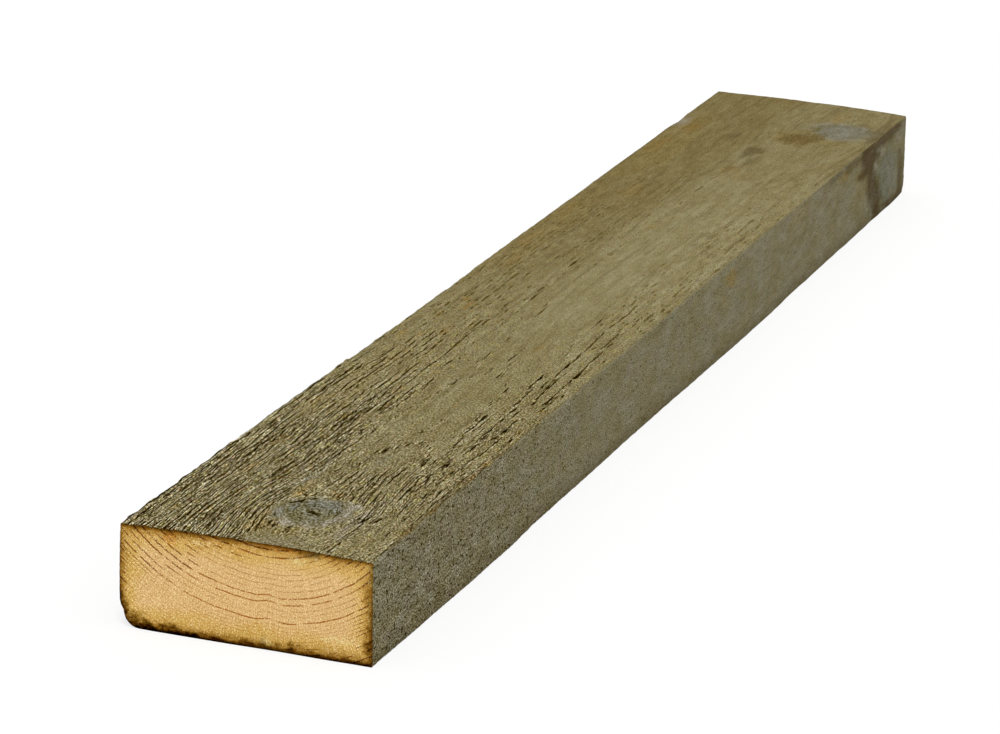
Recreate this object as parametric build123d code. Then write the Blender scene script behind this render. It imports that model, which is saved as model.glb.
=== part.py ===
from build123d import *
import os

# One sawn wood cladding board, a short length of 28 x 70 mm stock lying on its back face.
# Frame: millimetres, +X along the grain, +Y across the width, +Z from the back face to the exposed face.
# The origin is the middle of the back face. The board is one piece of wood and so one solid.

# Driving sizes of the stock
LENGTH = 500.0          # along the grain, end to end
WIDTH = 70.0            # across the face
THICKNESS = 28.0        # at the long edges
CROWN_RISE = 0.6        # how far drying has lifted the exposed face where it lies nearest the log's pith
CROWN_Y = -8.0          # where across the face that is

# Wear on the long sawn edges
FACE_ARRIS_RADIUS = 0.5     # the two edges of the exposed face
BACK_ARRIS_RADIUS = 0.4     # the back edge that has no wane

# Wane: the log's own round outside, left on one back edge and running out along the board
WANE_RISE = 7.4         # up the side, at the thin end of the log
WANE_REACH = 5.5        # across the back, at the thin end of the log
WANE_BUTT_SHARE = 0.35  # what is left of both at the butt end

# How far a cutting solid stands out of the wood
CUT_OVERRUN = 5.0

THIN_END_X = -LENGTH / 2
BUTT_END_X = LENGTH / 2
RIGHT_SIDE_Y = -WIDTH / 2
WANE_SIDE_Y = WIDTH / 2
BACK_Z = 0.0


def section_plane(x):
    """A plane across the grain at x, with its own X along +Y and its own Y along +Z."""
    return Plane(origin=(x, 0, 0), x_dir=(0, 1, 0), z_dir=(1, 0, 0))


def sawn_bar():
    """The full bar as sawn: square sides, a flat back and a crowned exposed face."""
    with BuildSketch(section_plane(THIN_END_X)) as section:
        with BuildLine():
            Polyline(
                (RIGHT_SIDE_Y, THICKNESS),
                (RIGHT_SIDE_Y, BACK_Z),
                (WANE_SIDE_Y, BACK_Z),
                (WANE_SIDE_Y, THICKNESS),
            )
            Spline(
                (WANE_SIDE_Y, THICKNESS),
                (CROWN_Y, THICKNESS + CROWN_RISE),
                (RIGHT_SIDE_Y, THICKNESS),
            )
        make_face()
    return extrude(section.sketch, amount=LENGTH)


def long_edges(bar, high):
    """The bar's edges that run along the grain, at the exposed face or at the back."""
    along = bar.edges().filter_by(Axis.X).group_by(Axis.Z)
    return along[-1] if high else along[0]


def worn_bar():
    """The bar with its sharp sawn arrises worn round."""
    bar = sawn_bar()
    bar = fillet(long_edges(bar, high=True), FACE_ARRIS_RADIUS)
    right_back_edge = long_edges(bar, high=False).sort_by(Axis.Y)[0]
    return fillet(right_back_edge, BACK_ARRIS_RADIUS)


def wane_section(x, share):
    """What the log's round outside leaves out of the back corner at x, with its size as a share of the full wane."""
    rise = WANE_RISE * share
    reach = WANE_REACH * share
    outside_y = WANE_SIDE_Y + CUT_OVERRUN
    below_z = BACK_Z - CUT_OVERRUN
    with BuildSketch(section_plane(x)) as section:
        with BuildLine():
            Polyline(
                (WANE_SIDE_Y, BACK_Z + rise),
                (outside_y, BACK_Z + rise),
                (outside_y, below_z),
                (WANE_SIDE_Y - reach, below_z),
                (WANE_SIDE_Y - reach, BACK_Z),
            )
            EllipticalCenterArc(
                center=(WANE_SIDE_Y - reach, BACK_Z + rise),
                x_radius=reach,
                y_radius=rise,
                start_angle=270,
                arc_size=90,
            )
        make_face()
    return section.sketch


def wane_cutter():
    """The wane as a solid that tapers from the thin end to the butt end."""
    thin_end = wane_section(THIN_END_X, 1.0)
    butt_end = wane_section(BUTT_END_X, WANE_BUTT_SHARE)
    return loft([thin_end.face(), butt_end.face()], ruled=True)


def board():
    return worn_bar() - wane_cutter()


os.makedirs("parts", exist_ok=True)
export_step(board(), "parts/board.step")
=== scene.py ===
import math
from collections import namedtuple

import bpy
import numpy as np
from mathutils import Matrix, Vector
from mathutils.geometry import delaunay_2d_cdt


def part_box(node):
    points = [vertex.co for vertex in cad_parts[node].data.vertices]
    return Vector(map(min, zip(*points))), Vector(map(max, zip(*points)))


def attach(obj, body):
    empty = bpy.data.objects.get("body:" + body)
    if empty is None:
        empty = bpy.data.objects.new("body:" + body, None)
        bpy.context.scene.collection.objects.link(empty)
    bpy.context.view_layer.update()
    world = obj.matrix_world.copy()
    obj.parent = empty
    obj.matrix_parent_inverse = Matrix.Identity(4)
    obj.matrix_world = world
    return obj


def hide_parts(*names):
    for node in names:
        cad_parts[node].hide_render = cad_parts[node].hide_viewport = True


# The finish of one rough-sawn, pressure-treated softwood board, lying on its back face.
# Lengths are millimetres until a mesh is made. X runs along the grain, Y across it, Z up.

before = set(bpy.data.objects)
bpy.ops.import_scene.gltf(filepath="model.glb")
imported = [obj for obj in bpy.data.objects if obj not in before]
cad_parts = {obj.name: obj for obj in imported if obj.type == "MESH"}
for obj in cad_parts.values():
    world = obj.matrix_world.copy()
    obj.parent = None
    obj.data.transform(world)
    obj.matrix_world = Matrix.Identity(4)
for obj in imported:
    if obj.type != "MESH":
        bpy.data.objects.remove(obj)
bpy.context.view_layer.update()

MM = 0.001                  # one millimetre in Blender's metres

# The stock, from the frame's own box
board_low, board_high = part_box("board")
LENGTH = (board_high.x - board_low.x) / MM
WIDTH = (board_high.y - board_low.y) / MM
HEIGHT = (board_high.z - board_low.z) / MM
NEAR_END = board_low.x / MM
FAR_END = board_high.x / MM
RIGHT_SIDE = board_low.y / MM
LEFT_SIDE = board_high.y / MM

# The section
CROWN_RISE = 0.63           # how far the exposed face bulges over its long edges
CROWN_ACROSS = -6.0         # where it bulges most
THICKNESS = HEIGHT - CROWN_RISE
FACE_ARRIS = 0.35           # radius of the two upper edges
BACK_ARRIS = 0.35           # radius of the lower right edge
WANE_RISE = 7.4             # the log's round outside, at the near end
WANE_REACH = 5.5
WANE_FAR_SHARE = 0.35       # what is left of the wane at the far end

# The log that the board was sawn from
PITH_ACROSS = -7.0          # the pith runs along the board, above it
PITH_UP_LEFT = 67.0         # height of the rings' centre, for the part left of the pith
PITH_UP_RIGHT = 52.0        # and for the part right of it, where the rings are tighter
PITH_BLEND = 5.0            # how gradually one part turns into the other
RING_TILT = 0.010           # how fast the rings rise out of the exposed face along the board
RING_LIFT = 5.0             # how far a knot draws the rings down with it
RING_LIFT_REACH = 70.0      # how far along the grain it does
RING_SPACING = 1.75         # beyond the rings that are listed
# Heights at which the rings cross the near end under the pith, and how dark each one is
RING_HEIGHTS = (
    (30.6, 0.5), (28.9, 0.5), (27.2, 0.5), (25.1, 1), (23.4, 0.3), (21.9, 0.35), (20.6, 0.4), (19.2, 0.5),
    (17.6, 0.35), (16.1, 0.4), (14.3, 0.85), (12.5, 0.8), (10.8, 0.35), (9.5, 0.3), (7.6, 1), (6.3, 0.4),
    (5.4, 0.35), (4.5, 0.4), (3.6, 0.35), (2.7, 0.4), (1.8, 0.35), (0.9, 0.35),
)
RING_STEP_ACROSS = -6.5         # where the branch below the exposed face breaks the rings
RING_STEP = 0.9                 # how far it lifts them there
RING_STEP_WIDTH = 2.2
RING_STEP_UP = (22.0, 12.0)     # from no lift to a full one, downwards
RING_STEP_REACH = 40.0          # along the board

# Knots: where each branch leaves the exposed face, its radius there and how it leans as it goes down,
# which it always does a little
Branch = namedtuple("Branch", "along across radius lean_along lean_across")
BRANCHES = (
    Branch(along=-222.6, across=-6.9, radius=10.2, lean_along=-0.40, lean_across=0.02),
    Branch(along=215.3, across=-21.3, radius=11.2, lean_along=0.10, lean_across=-0.50),
)
BRANCH_SPREAD = 0.010       # growth of the radius for each millimetre of depth
SWERVE_SHARE = 0.55         # how strongly the fibres swerve round a knot
SWERVE_ALONG = 1.5          # how far they do, along and across the grain, as shares of the knot's radius
SWERVE_ACROSS = 1.15
SIDE_SWERVE_SHIFT = 2.0     # on the right side they swerve this far beyond the far knot
SIDE_SWERVE_UP = 8.0        # at this height
SIDE_SWERVE_SHARE = 0.8     # and as round a knot of this share of its radius
# Shares of a knot's radius between which it turns into plain wood, and between which tears may begin
KNOT_EDGE_SHARES = (0.9, 1.1)
KNOT_CLEAR_SHARES = (0.95, 1.15)

# The grid
FACE_COLUMNS = 270
SIDE_COLUMNS = 27
BACK_COLUMNS = 16
WANE_COLUMNS = 7
ARRIS_COLUMNS = 2
END_GRID_STEP = 1.05
END_GRID_SHAKE = 0.12
END_GRID_CLEAR_SHARE = 0.55     # of that step, between the outline and the inner points
# Steps along the board, each up to a place
STATION_STEPS = ((-90.0, 1.1), (60.0, 2.2), (FAR_END, 4.0))

EXPOSED, RIGHT, BACK, LEFT = range(4)

SEED = 20
TINY = 1e-12                # keeps a division from failing on a piece without length


# Repeatable noise


def scrambled(i, j, seed):
    """A repeatable number from -1 to 1 for each pair of whole numbers."""
    mixed = (i * 374761393 + j * 668265263 + seed * 974634777) & 0xFFFFFFFF
    mixed = ((mixed ^ (mixed >> 13)) * 1274126177) & 0xFFFFFFFF
    return ((mixed ^ (mixed >> 16)) & 0xFFFF) / 32767.5 - 1.0


def eased(share):
    """A share from 0 to 1 that starts and ends level."""
    share = np.clip(share, 0.0, 1.0)
    return share * share * (3.0 - 2.0 * share)


def rise(value, low, high):
    """0 below low, 1 above high and smooth between them. low may be the larger one."""
    return eased((value - low) / (high - low))


def grown(share, least, growth):
    """One amount at 0, and that amount with the growth added at 1."""
    return least + growth * share


def noise(x, y, seed):
    """Smooth noise from -1 to 1 that changes over about one unit."""
    x, y = np.broadcast_arrays(x, y)
    i, j = np.floor(x).astype(np.int64), np.floor(y).astype(np.int64)
    u, v = eased(x - i), eased(y - j)
    low = scrambled(i, j, seed) * (1 - u) + scrambled(i + 1, j, seed) * u
    high = scrambled(i, j + 1, seed) * (1 - u) + scrambled(i + 1, j + 1, seed) * u
    return low * (1 - v) + high * v


class Ripple(namedtuple("Ripple", "height length width seed octaves", defaults=(1,))):
    """Noise on a shape: its height, how long and wide its waves are, its seed and its octaves."""

    def at(self, along, across, shift=0):
        """The height at a place. Each octave is half as large and half as high as the one before."""
        total = 0.0
        for octave in range(self.octaves):
            scale = 2.0**octave
            seed = SEED + self.seed + shift + octave
            finer = noise(along / self.length * scale, across / self.width * scale, seed)
            total = total + finer / scale
        return self.height * total


# The wood itself

RING_WAVES = Ripple(0.35, 70, 16, 1)
RING_SHAKE = Ripple(0.12, 3, 3, 2)
FACE_WANDER = Ripple(1.1, 110, 30, 5)
SIDE_WANDER = Ripple(0.7, 90, 12, 6)


def crown(across):
    """Height of the exposed face over its long edges."""
    half = np.where(across > CROWN_ACROSS, LEFT_SIDE - CROWN_ACROSS, CROWN_ACROSS - RIGHT_SIDE)
    return CROWN_RISE * (1.0 - ((across - CROWN_ACROSS) / half) ** 2)


def pith_up(across):
    """Height of the rings' centre over a place across the board."""
    left_share = 1.0 / (1.0 + np.exp(-(across - PITH_ACROSS) / PITH_BLEND))
    return PITH_UP_RIGHT + (PITH_UP_LEFT - PITH_UP_RIGHT) * left_share


def ring_lift(along):
    """How far the knots draw the rings down at a place along the board."""
    lift = 0.0
    for branch in BRANCHES:
        lift = lift + RING_LIFT * bell((along - branch.along) / RING_LIFT_REACH)
    return lift


def bell(off):
    """1 at nothing, falling to nothing on both sides beyond 1."""
    return np.exp(-(off**2))


def ring_height(along, across, up):
    """Height at which the growth ring through a place crosses the near end, under the pith."""
    centre = pith_up(across)
    height = centre - np.hypot(centre - up, across - PITH_ACROSS)
    height = height + ring_lift(along) - ring_lift(NEAR_END)
    height = height - RING_TILT * (along - NEAR_END)
    step = bell((across - RING_STEP_ACROSS) / RING_STEP_WIDTH) * rise(up, *RING_STEP_UP)
    height = height - RING_STEP * step * np.exp(-((along - NEAR_END) / RING_STEP_REACH))
    return height + RING_WAVES.at(along, across) + RING_SHAKE.at(across, up)


def ring_count(height):
    """Rings counted downwards from the first one listed. It is whole where a ring's dark line lies."""
    listed = np.array([h for h, _ in RING_HEIGHTS])
    counts = np.arange(len(listed), dtype=float)
    above = np.maximum(height - listed[0], 0.0) / RING_SPACING
    below = np.maximum(listed[-1] - height, 0.0) / RING_SPACING
    return np.interp(-height, -listed, counts) - above + below


def branch_reach(branch, along, across, up):
    """Distance from a branch's middle line, as a share of its radius there."""
    depth = THICKNESS - up
    off_along = along - branch.along - branch.lean_along * depth
    off_across = across - branch.across - branch.lean_across * depth
    lean = math.hypot(branch.lean_along, branch.lean_across)
    toward = (off_along * branch.lean_along + off_across * branch.lean_across) / lean
    beside = (off_along * branch.lean_across - off_across * branch.lean_along) / lean
    distance = np.hypot(toward / math.hypot(1.0, lean), beside)
    return distance / (branch.radius * (1.0 + BRANCH_SPREAD * depth))


def knot_reach(along, across, up):
    """Distance from the nearest branch, as a share of its radius."""
    return np.minimum.reduce([branch_reach(b, along, across, up) for b in BRANCHES])


def swerved(along, across, centre_along, centre_across, radius):
    """How much nearer to a knot's middle the fibre through a place runs, away from the knot."""
    ahead = (along - centre_along) / (SWERVE_ALONG * radius)
    beside = across - centre_across
    return -SWERVE_SHARE * beside * np.exp(-0.5 * (ahead**2 + (beside / (SWERVE_ACROSS * radius)) ** 2))


def fibre_across(region, along, across, up):
    """Which fibre passes through a place on a long face, in millimetres across that face."""
    if region in (EXPOSED, BACK):
        fibre = across + FACE_WANDER.at(along, across)
        depth = 0.0 if region == EXPOSED else THICKNESS
        for b in BRANCHES:
            middle_along = b.along + b.lean_along * depth
            middle_across = b.across + b.lean_across * depth
            fibre = fibre + swerved(along, across, middle_along, middle_across, b.radius)
        return fibre
    fibre = up + SIDE_WANDER.at(along, up)
    if region == RIGHT:
        far = BRANCHES[1]
        middle_along, radius = far.along + SIDE_SWERVE_SHIFT, SIDE_SWERVE_SHARE * far.radius
        fibre = fibre + swerved(along, up, middle_along, SIDE_SWERVE_UP, radius)
    return fibre


# Marks that are placed one by one


def listed(kind, rows):
    """The rows of a table as named tuples of one kind."""
    return tuple(kind(*row) for row in rows)


# On the exposed face, in millimetres along and across it
Gouge = namedtuple("Gouge", "along across length depth")
GOUGES = listed(Gouge, (
    (-67, 12.2, 42, 0.75), (-63, 12.5, 6, 0.5), (-17, 8, 10, 0.8), (22, 9, 9, 0.8), (-77, 0.4, 14, 0.7),
    (-31.5, 0.5, 15, 0.9), (-24, 1.8, 7, 0.6), (36, 1.6, 8, 0.5), (-33, -18.3, 16, 0.8),
    (-182, -22.9, 5, 1), (-187, -24.5, 6, 0.8), (-139, -19.6, 9, 0.7), (-93, -9.8, 7, 0.9),
    (-138.5, -28.6, 5, 1), (-173, 25.4, 6, 0.8), (-162, 24, 8, 0.8), (-172, 17.3, 10, 0.7),
    (-155, 14.8, 6, 0.9), (-151, 12.2, 12, 0.7), (-135.6, 11.6, 9, 0.8), (-127, 14.8, 12, 0.7),
    (-122, 11.2, 7, 0.7), (-112, 5.5, 8, 0.8), (-159, 8.9, 9, 0.8), (-154.5, 3.9, 8, 0.6),
    (-169, -3.4, 7, 0.8), (-170, -5.4, 8, 0.7), (-164.5, -7.1, 4, 0.9), (-158, -11.3, 5, 0.7),
    (-143, -9.1, 7, 0.5), (-171, -18.4, 9, 0.9), (-171.6, -24.5, 7, 0.9), (-184.7, -27.9, 6, 0.8),
    (-178.5, -25.9, 5, 0.8), (-157.7, -25.9, 7, 0.8), (-146.5, -25.2, 9, 0.9), (-169.5, -28.4, 6, 0.8),
    (-150, -29.5, 6, 0.8), (-130, -28.6, 6, 0.7), (-131, -19.5, 9, 0.8), (-157, -21, 5, 0.8),
    (-113, -27, 8, 0.7), (-112, -30.7, 8, 0.8), (-121, 24.8, 5, 0.7), (-90, 8.4, 7, 0.7),
    (-7, 8.6, 7, 0.6), (-95.5, -2.7, 6, 0.7), (-89, -5.4, 8, 0.7), (-73.7, -7.4, 10, 0.4),
    (-83, -8.8, 6, 0.6), (-91, -21.3, 5, 0.8), (-105, -22.3, 10, 0.6), (-96, -25.6, 16, 0.8),
    (-77, -24.3, 10, 0.8), (-67, -24.5, 5, 0.7), (-106, -30.2, 9, 0.9), (-85, -30.2, 13, 0.9),
    (-103, -32.4, 4, 0.9), (-26, -28, 11, 0.7), (-17, -31.4, 6, 0.6), (-56, -28, 7, 0.6),
    (-45.5, -28.4, 6, 0.6), (-22, 17.3, 7, 0.5), (23, 8.8, 8, 0.7), (33, -16.6, 8, 0.5),
    (19.5, -29.9, 8, 0.6), (98, 8.4, 10, 0.4), (-214, -0.6, 5, 0.7), (-234, 0.4, 5, 0.8),
    (-241, 30.3, 5, 0.8), (-217, 19.3, 3.5, 0.9),
))
Crack = namedtuple("Crack", "along across length turn width depth")   # turn is in degrees from the grain
KNOT_CRACKS = listed(Crack, (
    (-221.6, -7.2, 5.5, 70, 0.75, 0.9), (-220.8, -5.6, 3.5, 20, 0.5, 0.8),
    (-222.3, -8.4, 2.5, 100, 0.6, 0.8), (-214.8, 0.6, 7, -28, 0.5, 0.9), (-211.2, -2.8, 4, -50, 0.5, 0.9),
    (-218.6, -1.2, 5, -12, 0.4, 0.6), (-226, 2, 5, 25, 0.4, 0.6), (-231.5, 0.8, 4, 10, 0.5, 0.9),
    (-236, 2.6, 4, -20, 0.4, 0.7), (-220, -13, 9, 4, 0.35, 0.5), (-213.5, -11.5, 5, 25, 0.35, 0.5),
    (-227.5, -12, 5, -30, 0.35, 0.5), (-226.5, -5, 3, 60, 0.4, 0.5), (-216.5, -5, 3.5, 35, 0.35, 0.5),
    (-221, -21, 6, 0, 0.5, 1), (-220.5, -24, 6.5, -5, 0.5, 1), (-233.5, -16, 5, -35, 0.4, 0.6),
    (-229, -16.8, 4, -20, 0.35, 0.5), (216, -20, 5, 25, 0.4, 0.4), (210, -14, 6, 40, 0.3, 0.3),
    (-213.8, 0.2, 6, -30, 0.35, 0.9), (-210.2, -3.8, 5, -55, 0.35, 0.9), (-216.8, -4, 5.5, -60, 0.3, 0.6),
    (-219, -12, 4, 20, 0.3, 0.6), (-228, -10.4, 4.5, -55, 0.25, 0.5), (-234, -1, 3, 20, 0.5, 0.9),
    (-236.5, 1, 3, -10, 0.4, 0.9),
))
Patch = namedtuple("Patch", "along across half_length half_width strength")
# Smooth places, where a ring lies level with the face
SMOOTH_PATCHES = listed(Patch, (
    (-246, -8, 8, 9, 0.7), (-178, -8, 13, 6, 0.3), (-118, -6.5, 28, 5.5, 0.9), (-140, -14, 20, 3.5, 0.6),
    (-55, -9, 22, 6, 0.8), (0, -8, 55, 7, 0.8),
))
BROWN_PATCHES = listed(Patch, (
    (-235.5, 2.2, 6.5, 4.6, 0.8), (-238, -6, 2.6, 5, 0.45), (-230, 4.5, 5, 2.6, 0.5),
    (200, -8.5, 9, 8.5, 0.8), (203.5, -15, 7, 4, 0.7), (200, -22, 4, 8, 0.4), (60, 30, 60, 7, 0.25),
    (165, 27, 50, 8, 0.35), (-120, 25, 40, 6, 0.2), (-205, 3, 7, 3, 0.45),
))
GREY_PATCHES = listed(Patch, (
    (-231.4, -3.5, 1.7, 3.4, 0.6), (-231.2, -9, 1.6, 2.6, 0.6), (-228, -12.6, 2.6, 1.2, 0.65),
    (-223, -14, 3.4, 1, 0.6), (-217.8, -14.9, 3.4, 1.4, 0.5), (-213.4, -15.4, 2.6, 1.8, 0.65),
    (-211.4, -12.4, 1.5, 1.8, 0.6), (204, 33.5, 8, 2.5, 0.5), (-247, -6, 7, 10, 0.2),
    (-224, -19.5, 16, 2, 0.35), (216, -21.5, 10, 8, 0.25),
))
AMBER_SPOTS = listed(Patch, (
    (-67.4, 30.4, 5, 1.6, 0.6), (-59.5, 19.7, 4, 1.8, 0.7), (-66.7, 25.4, 4, 1.2, 0.7),
    (-92.3, 10.1, 2.5, 1.2, 0.6), (-98.4, 7.5, 2.5, 1.2, 0.6), (-92.3, 23.9, 4, 1.2, 0.6),
    (-118.7, 11.3, 4, 1.4, 0.6), (-135.8, 28.8, 5, 1.4, 0.6), (-146.4, 15.9, 6, 0.9, 0.9),
    (-141.8, 6.7, 3, 0.9, 0.6), (-123.6, -8.6, 4, 0.8, 0.4), (-63, -10.9, 4, 1.4, 0.5),
    (-33, 23.2, 5, 1.4, 0.9), (-46, 27.4, 4, 1.2, 0.5), (-27, 25.7, 3, 1.2, 0.7),
    (-82.3, 23.5, 3, 1.2, 0.5), (-178.6, -33.9, 4, 1, 0.8), (-166.6, -33.6, 4.5, 1, 0.8),
    (-138, -32.6, 3.5, 1.4, 0.7), (-118.1, -31.4, 3, 1, 0.6), (-205, -33.8, 6, 0.8, 0.6),
    (-226, -34, 5, 0.8, 0.6), (-232, 27, 4, 1.2, 0.5), (-196, 22, 7, 1.4, 0.6), (-172, 24.5, 5, 1.2, 0.6),
    (-214, 16.5, 4, 1.2, 0.5), (45, 30.7, 12, 2.6, 0.5), (81.5, 31.1, 9, 2.4, 0.4),
    (169.7, 30.8, 14, 4, 0.5), (198.9, 28, 9, 4, 0.6), (150.6, -1.1, 6, 3, 0.5), (142.7, -7.8, 6, 3, 0.4),
    (71.7, 1.1, 5, 2.5, 0.4), (20, 27, 10, 2, 0.4), (234, -15, 7, 3, 0.5), (201, -12, 5, 2.5, 0.3),
    (110, 20, 12, 3, 0.4), (212, -9.5, 5, 2, 0.4), (-208.6, 2.4, 4, 1.3, 0.6), (-206, -7.6, 3, 1.5, 0.5),
    (-226, 9, 3, 1.2, 0.4),
))
BLUE_PATCHES = listed(Patch, (
    (-215.6, -9.5, 4.4, 3.4, 1), (-215.4, -4.4, 3.6, 2.6, 1), (-219, -0.6, 4, 1.5, 0.9),
    (-224.5, 1.8, 4.5, 1.5, 0.8), (-229, 1.4, 4, 2, 0.5), (-218.4, -12.8, 2.2, 0.9, 0.9),
    (-226.5, -9.5, 2.5, 1.2, 0.5), (-200.8, 5.1, 7, 1.2, 0.7), (-192.9, 3.7, 6, 1, 0.5),
    (-190, 4.5, 12, 1.6, 0.3), (-175.5, -7.5, 5, 2.2, 0.4), (216, -21, 10.5, 8.5, 0.8),
    (221, -25, 6, 6, 0.7),
))
DARK_PATCHES = listed(Patch, (
    (163, -4, 9, 2.5, 0.35), (176.5, -0.7, 9, 3.4, 0.65), (192.8, 11.3, 6, 2.4, 0.4),
    (143, -8, 5, 1.8, 0.3), (200, -9, 8, 7.5, 0.6), (204, -15, 6, 3.5, 0.55), (-178, -8, 15, 7, 0.14),
    (222, -33, 26, 2.2, 0.5), (150.6, -1.1, 6, 1.8, 0.3), (-190, -34.4, 60, 1.5, 0.55),
    (-120, -34.6, 50, 1, 0.25), (0, -34.4, 90, 1.2, 0.2), (-138.8, -28.4, 2.6, 1.3, 1),
    (-171, -18, 4, 0.8, 0.9), (-209, 21, 5, 0.8, 0.7),
))

# On the right side, in millimetres along and up
SIDE_BROWN_PATCHES = listed(Patch, (
    (45, 22.5, 6, 3.5, 0.8), (38, 18, 3, 2, 0.5), (172, 24.7, 8, 2.5, 0.6), (120, 24, 14, 5, 0.35),
    (192, 17, 9, 8, 0.35),
))
SIDE_BLUE_PATCHES = listed(Patch, ((227, 12, 14, 11, 1),))
SIDE_DARK_PATCHES = listed(Patch, (
    (201, 24, 14, 8, 1), (206, 15, 8, 9, 0.9), (213, 5, 7, 9, 0.9), (226, 26.5, 26, 3.4, 0.9),
    (228, 0.6, 14, 3, 0.8), (244, 7, 4, 12, 0.8), (181, 26.8, 12, 2.4, 0.6), (160, 27, 14, 1.8, 0.5),
))

# On the ends, in millimetres across and up: soaked orange, dirt, dark ring lines, where the rings hardly
# show, green and pale specks
END_ORANGE = listed(Patch, (
    (28.5, 26.2, 4, 2.4, 0.45), (20.4, 26.2, 2.6, 2.4, 0.85), (9.5, 26.8, 5, 2.2, 0.6),
    (2, 26.2, 4, 2, 0.5), (-9.5, 27.8, 7.5, 1.6, 0.75), (-24.5, 27, 4, 1.8, 0.5), (33.2, 24, 1.8, 4, 0.4),
    (-33, 19, 1.8, 7, 0.5), (-30, 25.5, 4, 2, 0.4), (14, 25, 4, 1.2, 0.4),
))
END_DIRT = listed(Patch, (
    (1, 1.2, 4, 1.8, 0.55), (-13.2, 2, 2.4, 2.6, 0.7), (-33.6, 6, 1.8, 3.6, 0.8), (-31, 0.6, 5, 1.8, 0.6),
    (24, 0.6, 12, 2.4, 1), (8, 0.3, 10, 1.2, 0.5), (-33.6, 19, 1.4, 5, 0.5), (-34, 11, 1, 2, 0.5),
    (30.5, 2.2, 4, 2.6, 1), (33.6, 5.6, 1.6, 2.8, 0.8),
))
END_LINES = listed(Patch, (
    (26, 23.5, 14, 7, 1), (8, 26.5, 10, 2.6, 0.9), (-33, 18, 3, 12, 1), (-12, 26.5, 12, 2.2, 0.6),
))
END_FRESH = listed(Patch, (
    (24, 8.5, 10, 4.5, 0.9), (8, 3, 14, 2.5, 0.6), (28, 17, 5, 3, 0.4),
))
END_GREEN = listed(Patch, (
    (-18.5, 27.9, 3.2, 1.2, 0.7), (-26, 28.2, 3, 0.7, 0.7), (-5.2, 1.5, 0.8, 3, 0.4),
))
END_PALE = listed(Patch, (
    (-14.6, 25.4, 2.2, 1, 0.6), (-34.6, 24.5, 0.8, 4, 1), (-34.6, 15, 0.6, 6, 0.6),
    (-19.5, 26.6, 1, 0.7, 0.6), (11.5, 26.2, 4, 0.8, 0.4), (-6, 2, 3, 1.6, 0.5), (-26, 6, 6, 1.5, 0.4),
))

PATCH_RAGGED_SHARE = 0.35           # of a patch's edge, as a share of its half sizes
PATCH_WAVE_SHARE = 0.35             # and how long the waves of that edge are
PATCH_EDGE_SHARES = (1.15, 0.55)    # from outside to inside

# The marks are placed as the camera shows them on a flat face. The crown lifts them towards it by this much
LIFT_ALONG_SHARE = 2.92
LIFT_ACROSS_SHARE = 1.07


def as_marked(along, across):
    """Where the lists of marks have a place on the crowned face."""
    lift = crown(across)
    return along + LIFT_ALONG_SHARE * lift, across + LIFT_ACROSS_SHARE * lift


def on_face(along, across):
    """Where a mark from the lists lies on the crowned face."""
    lift = crown(across)
    return along - LIFT_ALONG_SHARE * lift, across - LIFT_ACROSS_SHARE * lift


def patches_at(patches, along, across):
    """The strongest of the soft-edged patches at each place."""
    strongest = np.zeros(np.broadcast(along, across).shape)
    for p in patches:
        sizes = PATCH_WAVE_SHARE * p.half_length, PATCH_WAVE_SHARE * p.half_width
        ragged = Ripple(PATCH_RAGGED_SHARE, *sizes, 7).at(along, across)
        reach = np.hypot((along - p.along) / p.half_length, (across - p.across) / p.half_width)
        strongest = np.maximum(strongest, p.strength * rise(reach + ragged, *PATCH_EDGE_SHARES))
    return strongest


# How much the saw tore each third of the exposed face, at places along it
LEFT_TEAR = (
    (-250, 0.95), (-165, 0.88), (-115, 0.6), (-60, 0.46), (0, 0.45), (80, 0.38), (140, 0.2), (250, 0.08),
)
MIDDLE_TEAR = (
    (-250, 0.5), (-190, 0.55), (-160, 0.3), (-120, 0.14), (0, 0.08), (250, 0.05),
)
RIGHT_TEAR = (
    (-250, 0.52), (-200, 0.55), (-130, 0.42), (-80, 0.32), (0, 0.4), (100, 0.38), (160, 0.15),
    (250, 0.05),
)
# Where each outer third begins across the face, and where it is full
LEFT_THIRD = (1.0, 9.0)
RIGHT_THIRD = (-15.0, -22.0)

# How deep and crisp the cracks are, along the board
CRACK_DEPTH_SHARES = (
    (-250, 1), (-150, 1), (-80, 0.65), (0, 0.45), (110, 0.35), (250, 0.2),
)

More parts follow.
